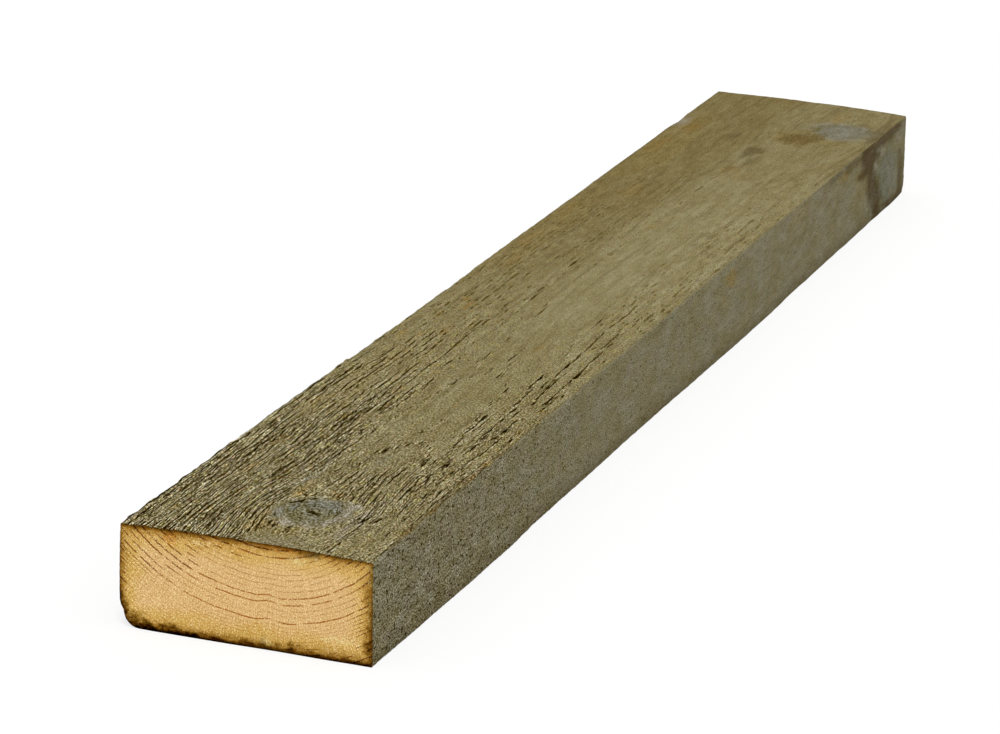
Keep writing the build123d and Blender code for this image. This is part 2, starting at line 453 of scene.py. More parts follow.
# Rows of tears, which follow the rings where they surface: points along and across, half width and strength
Tear = namedtuple("Tear", "half_width strength points")
TEARS = (
    Tear(1.1, 0.75, ((-250, 12.5), (-200, 11), (-175, 10), (-150, 8.5), (-120, 7), (-104, 5.5))),
    Tear(0.9, 0.9, ((-158, 12.6), (-140, 12), (-122, 11.3), (-104, 12.2), (-88, 11.2), (-70, 11.8),
        (-48, 13.5))),
    Tear(0.8, 0.85, ((-166, 15.2), (-150, 14.5), (-138, 15), (-128, 14.6), (-118, 15.4))),
    Tear(0.8, 0.55, ((-140, 18.6), (-125, 18.9), (-112, 16.2), (-98, 17.6))),
    Tear(0.9, 0.6, ((-182, 1.5), (-166, 4.5), (-150, 3.6), (-132, 2.1), (-116, 0.5), (-100, -0.4))),
    Tear(0.9, 0.55, ((-104, 7.2), (-88, 8.4), (-70, 7.2), (-55, 6.9))),
    Tear(1, 0.85, ((-184, -2.8), (-170, -3.5), (-163, -7), (-157, -11.5), (-162, -16), (-172, -18.3),
        (-184, -19.6))),
    Tear(0.8, 0.6, ((-150, -8), (-143, -9), (-136, -10))),
    Tear(1, 0.85, ((-160, -21.2), (-150, -19.9), (-138, -19.5), (-127, -19.8))),
    Tear(0.9, 0.75, ((-134, -18.2), (-119, -16.4), (-105, -16.8), (-100, -14.2), (-95, -11), (-88, -9.8),
        (-79, -8.6))),
    Tear(0.7, 0.55, ((-100, -5.4), (-90, -5.6), (-78, -7.2), (-66, -7.3))),
    Tear(0.8, 0.55, ((-101, -3), (-92, -2.6), (-80, -0.4), (-66, 0.2), (-45, 1), (-30, 0.6), (-20, 1.8))),
    Tear(0.9, 0.4, ((-10, 2.6), (10, 2.4), (37, 1.8), (70, 1), (110, 0.2), (150, -0.5))),
    Tear(1, 0.6, ((-55, 6.9), (-40, 8), (-26, 8.6), (-16, 7.6), (-7, 8.6), (10, 8), (22, 9), (36, 8.4))),
    Tear(0.9, 0.25, ((60, 9), (98, 8.4), (140, 9.5))),
    Tear(0.8, 0.55, ((-70, -19), (-60, -19.2), (-46, -17.4), (-33, -18.5), (-24, -19.2))),
    Tear(0.8, 0.35, ((-26, -17), (-8, -16.3), (8, -14.6), (33, -16.6), (60, -16.6), (115, -17.6))),
    Tear(1.2, 0.8, ((-198, -23), (-187, -24.3), (-180, -22.9), (-174, -24.5), (-166, -23.6))),
    Tear(1.1, 0.9, ((-161, -26), (-150, -25), (-143, -25.5), (-134, -24.2), (-120, -24), (-108, -22.8),
        (-88, -21))),
    Tear(1, 0.9, ((-116, -27.2), (-104, -26.6), (-92, -25.8), (-78, -24.3), (-60, -24), (-40, -23.2),
        (-12, -23.2))),
    Tear(1, 0.75, ((-200, -28.6), (-184, -28), (-168, -28.4), (-152, -29.8), (-138, -28.7),
        (-126, -28.8))),
    Tear(1.1, 0.95, ((-118, -31.2), (-107, -30.4), (-85, -30.2), (-70, -29.8), (-58, -28), (-42, -28.3),
        (-22, -28))),
    Tear(0.8, 0.4, ((-22, -27.8), (0, -26.2), (20, -26.5), (60, -25), (90, -26.8))),
    Tear(1, 0.6, ((-76, -31.5), (-50, -32), (-18, -31.3), (20, -29.9), (46, -28.8))),
    Tear(1.1, 0.6, ((-250, -31.5), (-225, -30), (-200, -31), (-160, -32.2), (-125, -32.6))),
    Tear(0.9, 0.6, ((-248, -21), (-232, -22.5), (-214, -21), (-200, -19), (-186, -17))),
)
TEAR_WANDER = Ripple(0.5, 12, 9, 8)
TORN_CLOUDS = Ripple(0.4, 16, 3, 9)


def segment_distance(start, end, x, y):
    """Distance from places to the straight line between two points."""
    (x0, y0), (x1, y1) = start, end
    run, drift = x1 - x0, y1 - y0
    share = np.clip(((x - x0) * run + (y - y0) * drift) / (run * run + drift * drift + TINY), 0.0, 1.0)
    return np.hypot(x - x0 - share * run, y - y0 - share * drift)


def nearness(along, across, points, half_width):
    """1 on a line through some points, falling to nothing beyond its half width."""
    gaps = [segment_distance(start, end, along, across) for start, end in zip(points[:-1], points[1:])]
    return bell(np.minimum.reduce(gaps) / half_width)


def profile(points, along):
    """The amount at a place, in a straight line from one point to the next."""
    places, amounts = zip(*points)
    return np.interp(along, places, amounts)


def torn_share(along, across):
    """How much of the exposed face is torn at a place, from 0 to 1."""
    along, across = as_marked(*np.broadcast_arrays(along, across))
    shaken = across + TEAR_WANDER.at(along, across)
    left, right = rise(across, *LEFT_THIRD), rise(across, *RIGHT_THIRD)
    torn = profile(MIDDLE_TEAR, along) * (1.0 - left - right)
    torn = torn + profile(LEFT_TEAR, along) * left + profile(RIGHT_TEAR, along) * right
    torn = torn * (1.0 + TORN_CLOUDS.at(along, across))
    torn = torn * (1.0 - patches_at(SMOOTH_PATCHES, along, across))
    for tear in TEARS:
        torn = np.maximum(torn, tear.strength * nearness(along, shaken, tear.points, tear.half_width))
    knots = knot_reach(*on_face(along, across), THICKNESS)
    return np.clip(torn * rise(knots, *KNOT_CLEAR_SHARES), 0.0, 1.0)


# Grooves and burrs

CRACK_SPACING = 1.25        # across the grain, between rows of cracks
ROW_START = 10.0            # the most that a row starts before the near end
ROW_SHAKE = 0.3             # how far a dash lies off its row
DASH_GAP = (-1.0, 4.0)      # from the end of one dash to the start of the next
SHORTEST_DASH = 4.0
LONGEST_DASH = (6.0, 16.0)  # how much longer a dash may be, and how much more of that at the near end
LONG_DASHES_ALONG = (-90.0, -170.0)
DASH_WIDTHS = (0.20, 0.27)
DASH_DEPTH = (0.5, 0.55)    # the least, and how much more at random
TORN_DEPTH = (0.5, 0.5)     # on smooth wood, and how much more on torn wood
DASH_BEND = 0.25
DASH_SKEW = 0.6
CHAIN_STEP = 3.0            # along a row of tears, from one crack to the next
CHAIN_SHAKE_SHARE = 0.35    # how far a crack lies off its row, as a share of the row's half width
CHAIN_FILL_SHARE = 0.1      # how much more of the row is filled than its strength says
CHAIN_LENGTH = (1.8, 5.0)
CHAIN_WIDTHS = (0.24, 0.40)
CHAIN_DEPTH = (0.55, 0.55)
CHAIN_BEND = 0.3
CHAIN_SKEW = 0.7
SCATTER_BEND = 0.2
SCATTER_SKEW = 0.7
GOUGE_WIDTH = 0.32
GOUGE_BEND = 0.1
GOUGE_SKEW = 0.3

STROKE_WANDER = Ripple(0.20, 13, 3, 20)
STROKE_SHAKE = Ripple(0.09, 2.2, 0.8, 21)
FAR_WIDENING_SHARE = 1.6    # strokes are blunter towards the far end by this share
FAR_WIDENING_ALONG = (-70.0, 110.0)
STROKE_HOOK = (0.9, 0.5)    # how a stroke's bend grows along it
STROKE_BLUNTNESS = 0.6      # how suddenly it ends

Stroke = namedtuple("Stroke", "along fibre length width depth bend skew")


def scattered_strokes(count, seed, low, high, to_fibre, lengths, widths, depths):
    """Short random strokes all over one face."""
    random = np.random.default_rng(seed)
    along = random.uniform(NEAR_END, FAR_END, count)
    fibre = to_fibre(along, random.uniform(low, high, count))
    made = []
    for place in zip(along, fibre):
        sizes = [random.uniform(*span) for span in (lengths, widths, depths)]
        made.append(Stroke(*place, *sizes, random.normal(0.0, SCATTER_BEND), skewed(random, SCATTER_SKEW)))
    return made


def skewed(random, most):
    """How much deeper a stroke is towards its far tip, either way."""
    return random.uniform(-most, most)


def row_strokes(seed, torn_at, to_fibre):
    """Cracks in rows along the grain, each row broken into dashes and kept where the face is torn."""
    random = np.random.default_rng(seed)
    dashes = []
    for row in np.arange(RIGHT_SIDE, LEFT_SIDE, CRACK_SPACING):
        along = NEAR_END - random.uniform(0.0, ROW_START)
        while along < FAR_END:
            longest = grown(float(rise(along, *LONG_DASHES_ALONG)), *LONGEST_DASH)
            length = SHORTEST_DASH + longest * random.random() ** 2
            dashes.append((along + length / 2, row + random.normal(0.0, ROW_SHAKE), length))
            along += length + random.uniform(*DASH_GAP)
    along, across, length = np.array(dashes).T
    torn = torn_at(along, across)
    fibre = to_fibre(along, across)
    made = []
    for k in np.flatnonzero(random.random(len(along)) < torn):
        width = random.uniform(*DASH_WIDTHS)
        depth = grown(random.random(), *DASH_DEPTH) * grown(torn[k], *TORN_DEPTH)
        bend = random.normal(0.0, DASH_BEND)
        made.append(Stroke(along[k], fibre[k], length[k], width, depth, bend, skewed(random, DASH_SKEW)))
    return made


def chain_strokes(seed, to_fibre):
    """The rows of tears as short cracks with the grain, one after the other along each row."""
    random = np.random.default_rng(seed)
    made = []
    for tear in TEARS:
        for (x0, y0), (x1, y1) in zip(tear.points[:-1], tear.points[1:]):
            steps = max(1, round(math.hypot(x1 - x0, y1 - y0) / CHAIN_STEP))
            for step in range(steps):
                share = (step + random.random()) / steps
                beside = random.normal(0.0, CHAIN_SHAKE_SHARE * tear.half_width)
                along, across = on_face(x0 + (x1 - x0) * share, y0 + (y1 - y0) * share + beside)
                size = random.random()
                if random.random() >= tear.strength + CHAIN_FILL_SHARE:
                    continue
                fibre = float(to_fibre(np.array(along), np.array(across)))
                width = random.uniform(*CHAIN_WIDTHS)
                depth = grown(size, *CHAIN_DEPTH) * tear.strength
                bend = random.normal(0.0, CHAIN_BEND)
                skew = skewed(random, CHAIN_SKEW)
                made.append(Stroke(along, fibre, grown(size, *CHAIN_LENGTH), width, depth, bend, skew))
    return made


def gouge_strokes(to_fibre):
    """The listed gouges, as strokes."""
    made = []
    for g in GOUGES:
        along, across = on_face(g.along, g.across)
        fibre = to_fibre(along, across)
        made.append(Stroke(along, fibre, g.length, GOUGE_WIDTH, g.depth, GOUGE_BEND, GOUGE_SKEW))
    return made


def stroke_heights(stations, along, fibre, strokes, offset_share=0.0):
    """The strongest stroke at each grid point, each moved sideways by a share of its width."""
    strongest = np.zeros_like(fibre)
    fibre = fibre + (STROKE_WANDER.at(along, fibre) + STROKE_SHAKE.at(along, fibre))
    for s in strokes:
        half = s.length / 2
        first, last = np.searchsorted(stations, (s.along - half, s.along + half))
        if last <= first:
            continue
        ahead = (along[first:last] - s.along) / half
        width = s.width * (1.0 + FAR_WIDENING_SHARE * float(rise(s.along, *FAR_WIDENING_ALONG)))
        bent = s.bend * ahead * grown(ahead, *STROKE_HOOK)
        beside = (fibre[first:last] - s.fibre - bent) / width - offset_share
        shape = (1.0 - ahead**2) ** STROKE_BLUNTNESS * (1.0 + s.skew * ahead) * bell(beside)
        np.maximum(strongest[first:last], s.depth * shape, out=strongest[first:last])
    return strongest


# The section and the grid of points on the long faces


def stations_along():
    """Places along the board with a loop of points each."""
    places = [NEAR_END]
    for until, step in STATION_STEPS:
        steps = max(1, round((until - places[-1]) / step))
        places.extend(np.linspace(places[-1], until, steps + 1)[1:])
    return np.array(places)


Loop = namedtuple("Loop", "across up out_across out_up region")


def section_loop(wane_share):
    """One loop of points round the section, from the exposed face's left edge to the right and down."""
    wane_rise = WANE_RISE * wane_share
    wane_reach = WANE_REACH * wane_share
    parts = []

    def add(region, across, up, out_across, out_up):
        shape = np.broadcast(across, up).shape
        parts.append([np.broadcast_to(a, shape) for a in (across, up, out_across, out_up, region)])

    face = np.linspace(LEFT_SIDE - FACE_ARRIS, RIGHT_SIDE + FACE_ARRIS, FACE_COLUMNS)
    add(EXPOSED, face, THICKNESS + crown(face), 0.0, 1.0)
    right_top = THICKNESS - FACE_ARRIS
    add(RIGHT, *arc_points_down(RIGHT_SIDE + FACE_ARRIS, right_top, FACE_ARRIS, 90.0))
    side = np.linspace(right_top, BACK_ARRIS, SIDE_COLUMNS)
    add(RIGHT, RIGHT_SIDE, side, -1.0, 0.0)
    add(RIGHT, *arc_points_down(RIGHT_SIDE + BACK_ARRIS, BACK_ARRIS, BACK_ARRIS, 180.0))
    back = np.linspace(RIGHT_SIDE + BACK_ARRIS, LEFT_SIDE - wane_reach, BACK_COLUMNS)
    add(BACK, back, 0.0, 0.0, -1.0)
    turn = np.radians(inner_degrees(WANE_COLUMNS))
    wane_across = LEFT_SIDE - wane_reach * (1.0 - np.sin(turn))
    wane_up = wane_rise * (1.0 - np.cos(turn))
    add(LEFT, wane_across, wane_up, np.sin(turn), -np.cos(turn))
    left = np.linspace(wane_rise, right_top, SIDE_COLUMNS)
    add(LEFT, LEFT_SIDE, left, 1.0, 0.0)
    add(LEFT, *arc_points_down(LEFT_SIDE - FACE_ARRIS, right_top, FACE_ARRIS, 0.0))
    return Loop(*[np.concatenate(column) for column in zip(*parts)])


def inner_degrees(count):
    """The turns of a number of points inside a quarter circle."""
    return 90.0 * np.arange(1, count + 1) / (count + 1)


def arc_points_down(centre_across, centre_up, radius, start_degrees):
    """The inner points of the quarter circle from a starting direction, and their outward directions."""
    turn = np.radians(start_degrees + inner_degrees(ARRIS_COLUMNS))
    out_across, out_up = np.cos(turn), np.sin(turn)
    return centre_across + radius * out_across, centre_up + radius * out_up, out_across, out_up


def wane_share_at(along):
    """How much of the near end's wane is left at a place along the board."""
    return 1.0 - (1.0 - WANE_FAR_SHARE) * (along - NEAR_END) / LENGTH


Grid = namedtuple("Grid", "stations along across up out_across out_up region")


def long_grid():
    """The long faces as a grid: one row for each station, one column for each point of its loop."""
    stations = stations_along()
    loops = [section_loop(wane_share_at(x)) for x in stations]
    stacked = [np.array([getattr(loop, name) for loop in loops]) for name in Loop._fields]
    along = np.broadcast_to(stations[:, None], stacked[0].shape)
    return Grid(stations, along, *stacked[:4], stacked[4][0].astype(int))


# Relief

# Millimetres for a full cut and for a full burr
CUT_HEIGHT = -0.75
BURR_HEIGHT = 0.30
SIDE_CUT_HEIGHT = -0.32
SIDE_BURR_HEIGHT = 0.10
BURR_OFFSET_SHARE = -1.8    # burrs lie beside their stroke by this share of its width
SIDE_BURR_OFFSET_SHARE = -1.5
TORN_CRACK_SHARE = 0.9      # how much of a torn place has cracks
UNEVEN_LEVEL_SHARE = 0.78   # cracks vary about this share of their depth
UNEVEN = Ripple(0.45, 1.5, 0.7, 22)
DULLED_ALONG = (-20.0, -170.0)
DULLED = (0.45, 0.55)       # cracks on the far half, and how much more on the near one
WORN_ALONG = (60.0, -140.0)
WORN = (0.25, 0.75)         # fine texture on the far half, and how much more on the near one
# Long shingles of torn wood, each rising from the face to a step
SHINGLE_WANDER = Ripple(3.0, 1.1, 30, 12)
SHINGLE_LENGTH = 7.5
SHINGLE_TORN = (0.1, 0.6)
SHINGLE_HEIGHT = 0.07
SHINGLE_LEVEL = 0.5
SHINGLE_UNEVEN = Ripple(0.5, 4, 0.8, 13)
# Textures, with their height on smooth wood and how much more it is on torn wood
COARSE_TEXTURE = Ripple(1, 6, 1.9, 11, 2)
COARSE_HEIGHT = (0.03, 0.15)
FINE_TEXTURE = Ripple(1, 4, 0.6, 14, 2)
FINE_HEIGHT = (0.02, 0.05)
FACE_WAVES = Ripple(0.12, 45, 11, 15, 2)


def face_relief(grid, columns):
    """Outward height, cut share, burr share and torn share on the exposed face."""
    along, across = grid.along[:, columns], grid.across[:, columns]
    up = np.full_like(across, THICKNESS)
    fibre = fibre_across(EXPOSED, along, across, up)
    torn = torn_share(along, across)

    def torn_at(x, y):
        return TORN_CRACK_SHARE * torn_share(x, y)

    def to_fibre(x, y):
        return fibre_across(EXPOSED, x, y, THICKNESS)

    def heights(strokes, offset_share=0.0):
        return stroke_heights(grid.stations, along, fibre, strokes, offset_share)

    random_strokes = row_strokes(SEED + 30, torn_at, to_fibre) + chain_strokes(SEED + 31, to_fibre)
    placed = gouge_strokes(to_fibre)
    knots = knot_reach(along, across, up)
    outside = rise(knots, *KNOT_EDGE_SHARES)
    uneven = UNEVEN_LEVEL_SHARE + UNEVEN.at(along, fibre)
    fresh = profile(CRACK_DEPTH_SHARES, along)
    cut = heights(random_strokes) * outside * uneven * grown(rise(along, *DULLED_ALONG), *DULLED)
    cut = np.maximum(cut, heights(placed) * uneven)
    burr = heights(random_strokes + placed, BURR_OFFSET_SHARE) * outside * fresh**2
    cut = np.maximum(cut, knot_cracks(along, across))

    shingle = SHINGLE_WANDER.at(fibre, along) + along / SHINGLE_LENGTH
    step = (shingle - np.floor(shingle)) * rise(torn, *SHINGLE_TORN)
    worn = outside * grown(rise(along, *WORN_ALONG), *WORN)
    height = CUT_HEIGHT * cut * fresh + BURR_HEIGHT * burr * (1.0 - np.minimum(cut, 1.0))
    height = height + outside * grown(torn, *COARSE_HEIGHT) * COARSE_TEXTURE.at(along, fibre)
    height = height + worn * SHINGLE_HEIGHT * step * (SHINGLE_LEVEL + SHINGLE_UNEVEN.at(along, fibre))
    height = height + worn * grown(torn, *FINE_HEIGHT) * FINE_TEXTURE.at(along, fibre)
    height = height + FACE_WAVES.at(along, across) + knot_relief(along, across, knots)
    return height, cut, burr, torn


CRACK_WAVE_SHARE = 0.4      # how far a crack winds off its line, as a share of its width
CRACK_WAVES = 3.0           # and how often


def knot_cracks(along, across):
    """Drying cracks and dark arcs in the knots, as a cut share."""
    along, across = as_marked(along, across)
    deepest = np.zeros_like(along)
    for c in KNOT_CRACKS:
        turn = math.radians(c.turn)
        off_along, off_across = along - c.along, across - c.across
        ahead = (off_along * math.cos(turn) + off_across * math.sin(turn)) / (c.length / 2)
        beside = (off_across * math.cos(turn) - off_along * math.sin(turn)) / c.width
        winding = CRACK_WAVE_SHARE * np.sin(CRACK_WAVES * ahead)
        deepest = np.maximum(deepest, c.depth * np.maximum(1.0 - ahead**2, 0.0) * bell(beside + winding))
    return deepest


KNOT_HEIGHT = 0.10
KNOT_RING_HEIGHT = 0.07
KNOT_RINGS = 5.0            # in the knot's radius
KNOT_WOBBLE = Ripple(0.05, 3, 3, 16)
KNOT_RIM_DEPTH = -0.25
KNOT_RIM_SHARE = 1.03       # shares of the knot's radius
KNOT_RIM_WIDTH_SHARE = 0.07
KNOT_RIM_GAPS = Ripple(1, 6, 6, 17)
KNOT_RIM_SHOWN = (-0.4, 0.5)
KNOT_WORN_ALONG = (100.0, 0.0)


def knot_relief(along, across, knots):
    """The hard rings of a knot, standing a little proud of the worn wood round it."""
    near = rise(along, *KNOT_WORN_ALONG)
    turn = (knots + KNOT_WOBBLE.at(along, across)) * 2.0 * math.pi * KNOT_RINGS
    ripples = KNOT_RING_HEIGHT * np.sin(turn)
    shown = rise(KNOT_RIM_GAPS.at(along, across), *KNOT_RIM_SHOWN)
    rim = KNOT_RIM_DEPTH * bell((knots - KNOT_RIM_SHARE) / KNOT_RIM_WIDTH_SHARE) * shown
    return (1.0 - rise(knots, *KNOT_EDGE_SHARES)) * (KNOT_HEIGHT + ripples * near) + rim * near


SIDE_STROKES = 900
SIDE_STROKE_LENGTHS = (1.5, 5.0)
SIDE_STROKE_WIDTHS = (0.2, 0.3)
SIDE_STROKE_DEPTHS = (0.15, 0.4)
SAW_MARK_HEIGHT = 0.035
SAW_MARK_SPACING = 3.1
# These take the seed of their side on top of their own
SAW_MARK_WANDER = Ripple(1.5, 14, 30, 3)
SIDE_TEXTURE = Ripple(0.05, 2.4, 0.9, 4, 2)
SIDE_WAVES = Ripple(0.10, 40, 10, 5, 2)
SIDE_TORN = Ripple(0.4, 30, 9, 0)
SIDE_TORN_LEVEL = 0.5


def side_relief(grid, columns, region, seed):
    """Outward height, cut share, burr share and torn share on a narrow side or the back."""
    along = grid.along[:, columns]
    across, up = grid.across[:, columns], grid.up[:, columns]
    fibre = fibre_across(region, along, across, up)
    over = across if region == BACK else up
    low, high = (RIGHT_SIDE, LEFT_SIDE) if region == BACK else (0.0, THICKNESS)

    def to_fibre(x, a):
        return a + SIDE_WANDER.at(x, a)

    spans = SIDE_STROKE_LENGTHS, SIDE_STROKE_WIDTHS, SIDE_STROKE_DEPTHS
    strokes = scattered_strokes(SIDE_STROKES, SEED + seed + 1, low, high, to_fibre, *spans)
    cut = stroke_heights(grid.stations, along, fibre, strokes)
    burr = stroke_heights(grid.stations, along, fibre, strokes, SIDE_BURR_OFFSET_SHARE)
    turn = along * 2.0 * math.pi / SAW_MARK_SPACING + SAW_MARK_WANDER.at(along, over, seed)
    height = SIDE_CUT_HEIGHT * cut + SIDE_BURR_HEIGHT * burr + SAW_MARK_HEIGHT * np.sin(turn)
    height = height + SIDE_TEXTURE.at(along, fibre, seed) + SIDE_WAVES.at(along, over, seed)
    return height, cut, burr, SIDE_TORN_LEVEL + SIDE_TORN.at(along, over, seed)


WANE_RIDGES = Ripple(0.28, 9, 1.6, 40, 3)
WANE_LEVEL = -0.15
WANE_EDGE = (0.3, -0.8)     # the wane fades into the side from here to there, over its upper edge
BITE_DEPTH = -0.75          # where bark is missing at the near end
BITE_UP = 4.4
BITE_WIDTH = 1.5
BITE_ALONG = (-190.0, -235.0)


def over_wane(along, up, edge):
    """1 on the wane, fading to nothing over its upper edge."""
    top = WANE_RISE * wane_share_at(along)
    return rise(up, top + edge[0], top + edge[1])


def wane_relief(grid, columns):
    """The bark side of the log: lumpy, with short ridges along the grain."""
    along, across, up = grid.along[:, columns], grid.across[:, columns], grid.up[:, columns]
    bitten = BITE_DEPTH * bell((up - BITE_UP) / BITE_WIDTH) * rise(along, *BITE_ALONG)
    return over_wane(along, up, WANE_EDGE) * (WANE_RIDGES.at(along, up - across) + WANE_LEVEL) + bitten


def long_relief(grid):
    """Outward height, cut share, burr share and torn share over the whole grid."""
    found_all = [np.zeros(grid.along.shape) for _ in range(4)]
    for region, seed in ((EXPOSED, 0), (RIGHT, 50), (BACK, 60), (LEFT, 70)):
        columns = np.flatnonzero(grid.region == region)
        if region == EXPOSED:
            found = face_relief(grid, columns)
        else:
            found = side_relief(grid, columns, region, seed)
        for whole, part in zip(found_all, found):
            whole[:, columns] = part
        if region == LEFT:
            found_all[0][:, columns] += wane_relief(grid, columns)
    return found_all


# How the saw left the long edges: place along, and how far each stands out or up there
LEFT_TOP_OUT = (
    (-250, 0.05), (-235, 0.25), (-170, 0.3), (-155, 0.5), (-140, 0.3), (-110, 0.3), (-85, 0), (-10, 0),
    (10, 0.45), (70, 0.5), (100, 0.4), (195, 0.45), (203, -0.45), (215, 0.2), (250, 0.2),
)
LEFT_TOP_UP = (
    (-250, 0.2), (-110, 0.1), (-80, 0), (60, 0), (170, 0.3), (250, 0.6),
)
RIGHT_TOP_UP = ((-250, 0), (100, 0), (250, -0.5))
RIGHT_LOW_OUT = (
    (-250, 0.15), (-215, 0.65), (-170, 1.25), (-155, 1.4), (-130, 0.75), (-65, 0.7), (-20, 0.9),
    (10, 1.25), (55, 1.6), (85, 1.55), (115, 0.9), (145, 1.1), (175, 1.05), (205, 0.7), (235, 1),
    (250, 0.35),
)

# The ragged upper edges, as shares of the width and of the thickness
EDGE_RAGGEDNESS = Ripple(0.30, 4, 1, 25, 2)
EDGE_WAVES = 3.0
EDGE_ALONG = (150.0, -150.0)
LEFT_EDGE_SHARES = (0.97, 1.0)
RIGHT_EDGE_SHARES = (0.03, 0.0)
EDGE_POWER = 4              # how fast the raggedness falls off down the side
LOW_EDGE_POWER = 3          # and how fast the wander of the lower edge does across the back

# The knocked lower right corner of the far end
BRUISE_RISE = 3.0           # its height
BRUISE_DEPTH = 2.0          # how far it is pushed in
BRUISE_LENGTH = 1.0
BRUISE_POWER = 40           # how fast it falls off across the back


def wave(points, along):
    """A wandering edge, drawn smoothly through its points."""
    places, heights = np.array(points, float).T
    index = np.clip(np.searchsorted(places, along, side="right") - 1, 0, len(places) - 2)
    share = eased((along - places[index]) / (places[index + 1] - places[index]))
    return heights[index] * (1 - share) + heights[index + 1] * share


def placed_points(grid, height):
    """The grid's points after relief and the wander of the edges."""
    along = grid.along
    across = grid.across + grid.out_across * height
    up = grid.up + grid.out_up * height
    left = np.clip((grid.across - RIGHT_SIDE) / WIDTH, 0.0, 1.0)
    top = np.clip(grid.up / THICKNESS, 0.0, 1.0)
    across = across + wave(LEFT_TOP_OUT, along) * left * top
    across = across - wave(RIGHT_LOW_OUT, along) * (1.0 - left) ** LOW_EDGE_POWER * (1.0 - top)
    ragged = EDGE_RAGGEDNESS.at(along, left * EDGE_WAVES) * rise(along, *EDGE_ALONG)
    ragged = ragged * (rise(left, *LEFT_EDGE_SHARES) - rise(left, *RIGHT_EDGE_SHARES))
    across = across + ragged * top**EDGE_POWER
    up = up + (wave(LEFT_TOP_UP, along) * left + wave(RIGHT_TOP_UP, along) * (1.0 - left)) * top
    bruise = (1.0 - left) ** BRUISE_POWER * rise(up, BRUISE_RISE, 0.0)
    bruise = bruise * rise(along, FAR_END - BRUISE_LENGTH, FAR_END)
    return np.stack([along - BRUISE_DEPTH * bruise, across, np.maximum(up, 0.0)], -1)


# The crosscut ends

SAW_CENTRE_RIGHT = 60.0     # the saw's axle, to the right of the board's middle and below its back
SAW_CENTRE_DOWN = 140.0
SAW_ARC_HEIGHT = 0.05
SAW_ARC_SPACING = 2.3
SAW_ARC_LEVEL = 0.6
SAW_ARC_CLOUDS = Ripple(0.4, 9, 9, 0)
END_TEXTURE = Ripple(0.05, 1.4, 1.4, 1)
JOIN_TOLERANCE = 1e-7


def inner_end_points(outline, seed):
    """Points inside an end's outline, on a slightly shaken triangular grid."""
    random = np.random.default_rng(seed)
    low, high = outline.min(0), outline.max(0)
    step = END_GRID_STEP
    row_step = step * math.sqrt(3.0) / 2.0
    points = []
    for row, up in enumerate(np.arange(low[1] + row_step, high[1] - 0.5 * row_step, row_step)):
        shift = 0.5 * step * (row % 2)
        for across in np.arange(low[0] + step + shift, high[0] - 0.5 * step, step):
            points.append((across, up))
    points = np.array(points)
    points += random.uniform(-END_GRID_SHAKE, END_GRID_SHAKE, points.shape)
    return points[clearance(points, outline) > END_GRID_CLEAR_SHARE * step]


def clearance(points, outline):
    """Distance inside the outline, below zero outside, from the outline's own edges."""
    across, up = points.T
    nearest = np.full(len(points), np.inf)
    crossings = np.zeros(len(points), int)
    for start, end in zip(outline, np.roll(outline, -1, axis=0)):
        nearest = np.minimum(nearest, segment_distance(start, end, across, up))
        run, climb = end - start
        spans = (start[1] > up) != (end[1] > up)
        crossing = start[0] + (up - start[1]) * run / (climb if climb else TINY)
        crossings += spans & (across < crossing)
    return np.where(crossings % 2 == 1, nearest, -nearest)


def end_relief(across, up, seed):
    """How far the crosscut stands out: saw arcs and a little torn grain."""
    turn = np.hypot(across + SAW_CENTRE_RIGHT, up + SAW_CENTRE_DOWN) * 2.0 * math.pi / SAW_ARC_SPACING
    clouds = SAW_ARC_LEVEL + SAW_ARC_CLOUDS.at(across, up, seed)
    return SAW_ARC_HEIGHT * np.sin(turn) * clouds + END_TEXTURE.at(across, up, seed)


def end_cap(outline, seed):
    """Inner points of an end and the triangles that join them to its outline."""
    inner = inner_end_points(outline, seed)
    points = [Vector(p) for p in np.concatenate([outline, inner])]
    border = list(range(len(outline)))
    _, _, faces, origins, _, _ = delaunay_2d_cdt(points, [], [border], 1, JOIN_TOLERANCE)
    source = [o[0] for o in origins]
    return inner, [[source[v] for v in face] for face in faces]


# One mesh for the whole board

# The layout of the map, as shares of its size: where each part starts and how far it reaches
MAP_LONG_START_SHARES = (0.01, 0.29)
MAP_LONG_SIZE_SHARES = (0.98, 0.70)
MAP_END_START_SHARES = (0.02, 0.02)
MAP_END_SIZE_SHARES = (0.46, 0.24)
MAP_FAR_END_SHARE = 0.5
MAP_END_MARGIN = 1.0        # round each end, in millimetres


def grid_faces(rows, columns):
    """Quads over a grid whose last column joins its first."""
    row, column = np.meshgrid(np.arange(rows - 1), np.arange(columns), indexing="ij")
    low, high = row * columns, (row + 1) * columns
    after = (column + 1) % columns
    return np.stack([c.ravel() for c in (low + column, high + column, high + after, low + after)], -1)


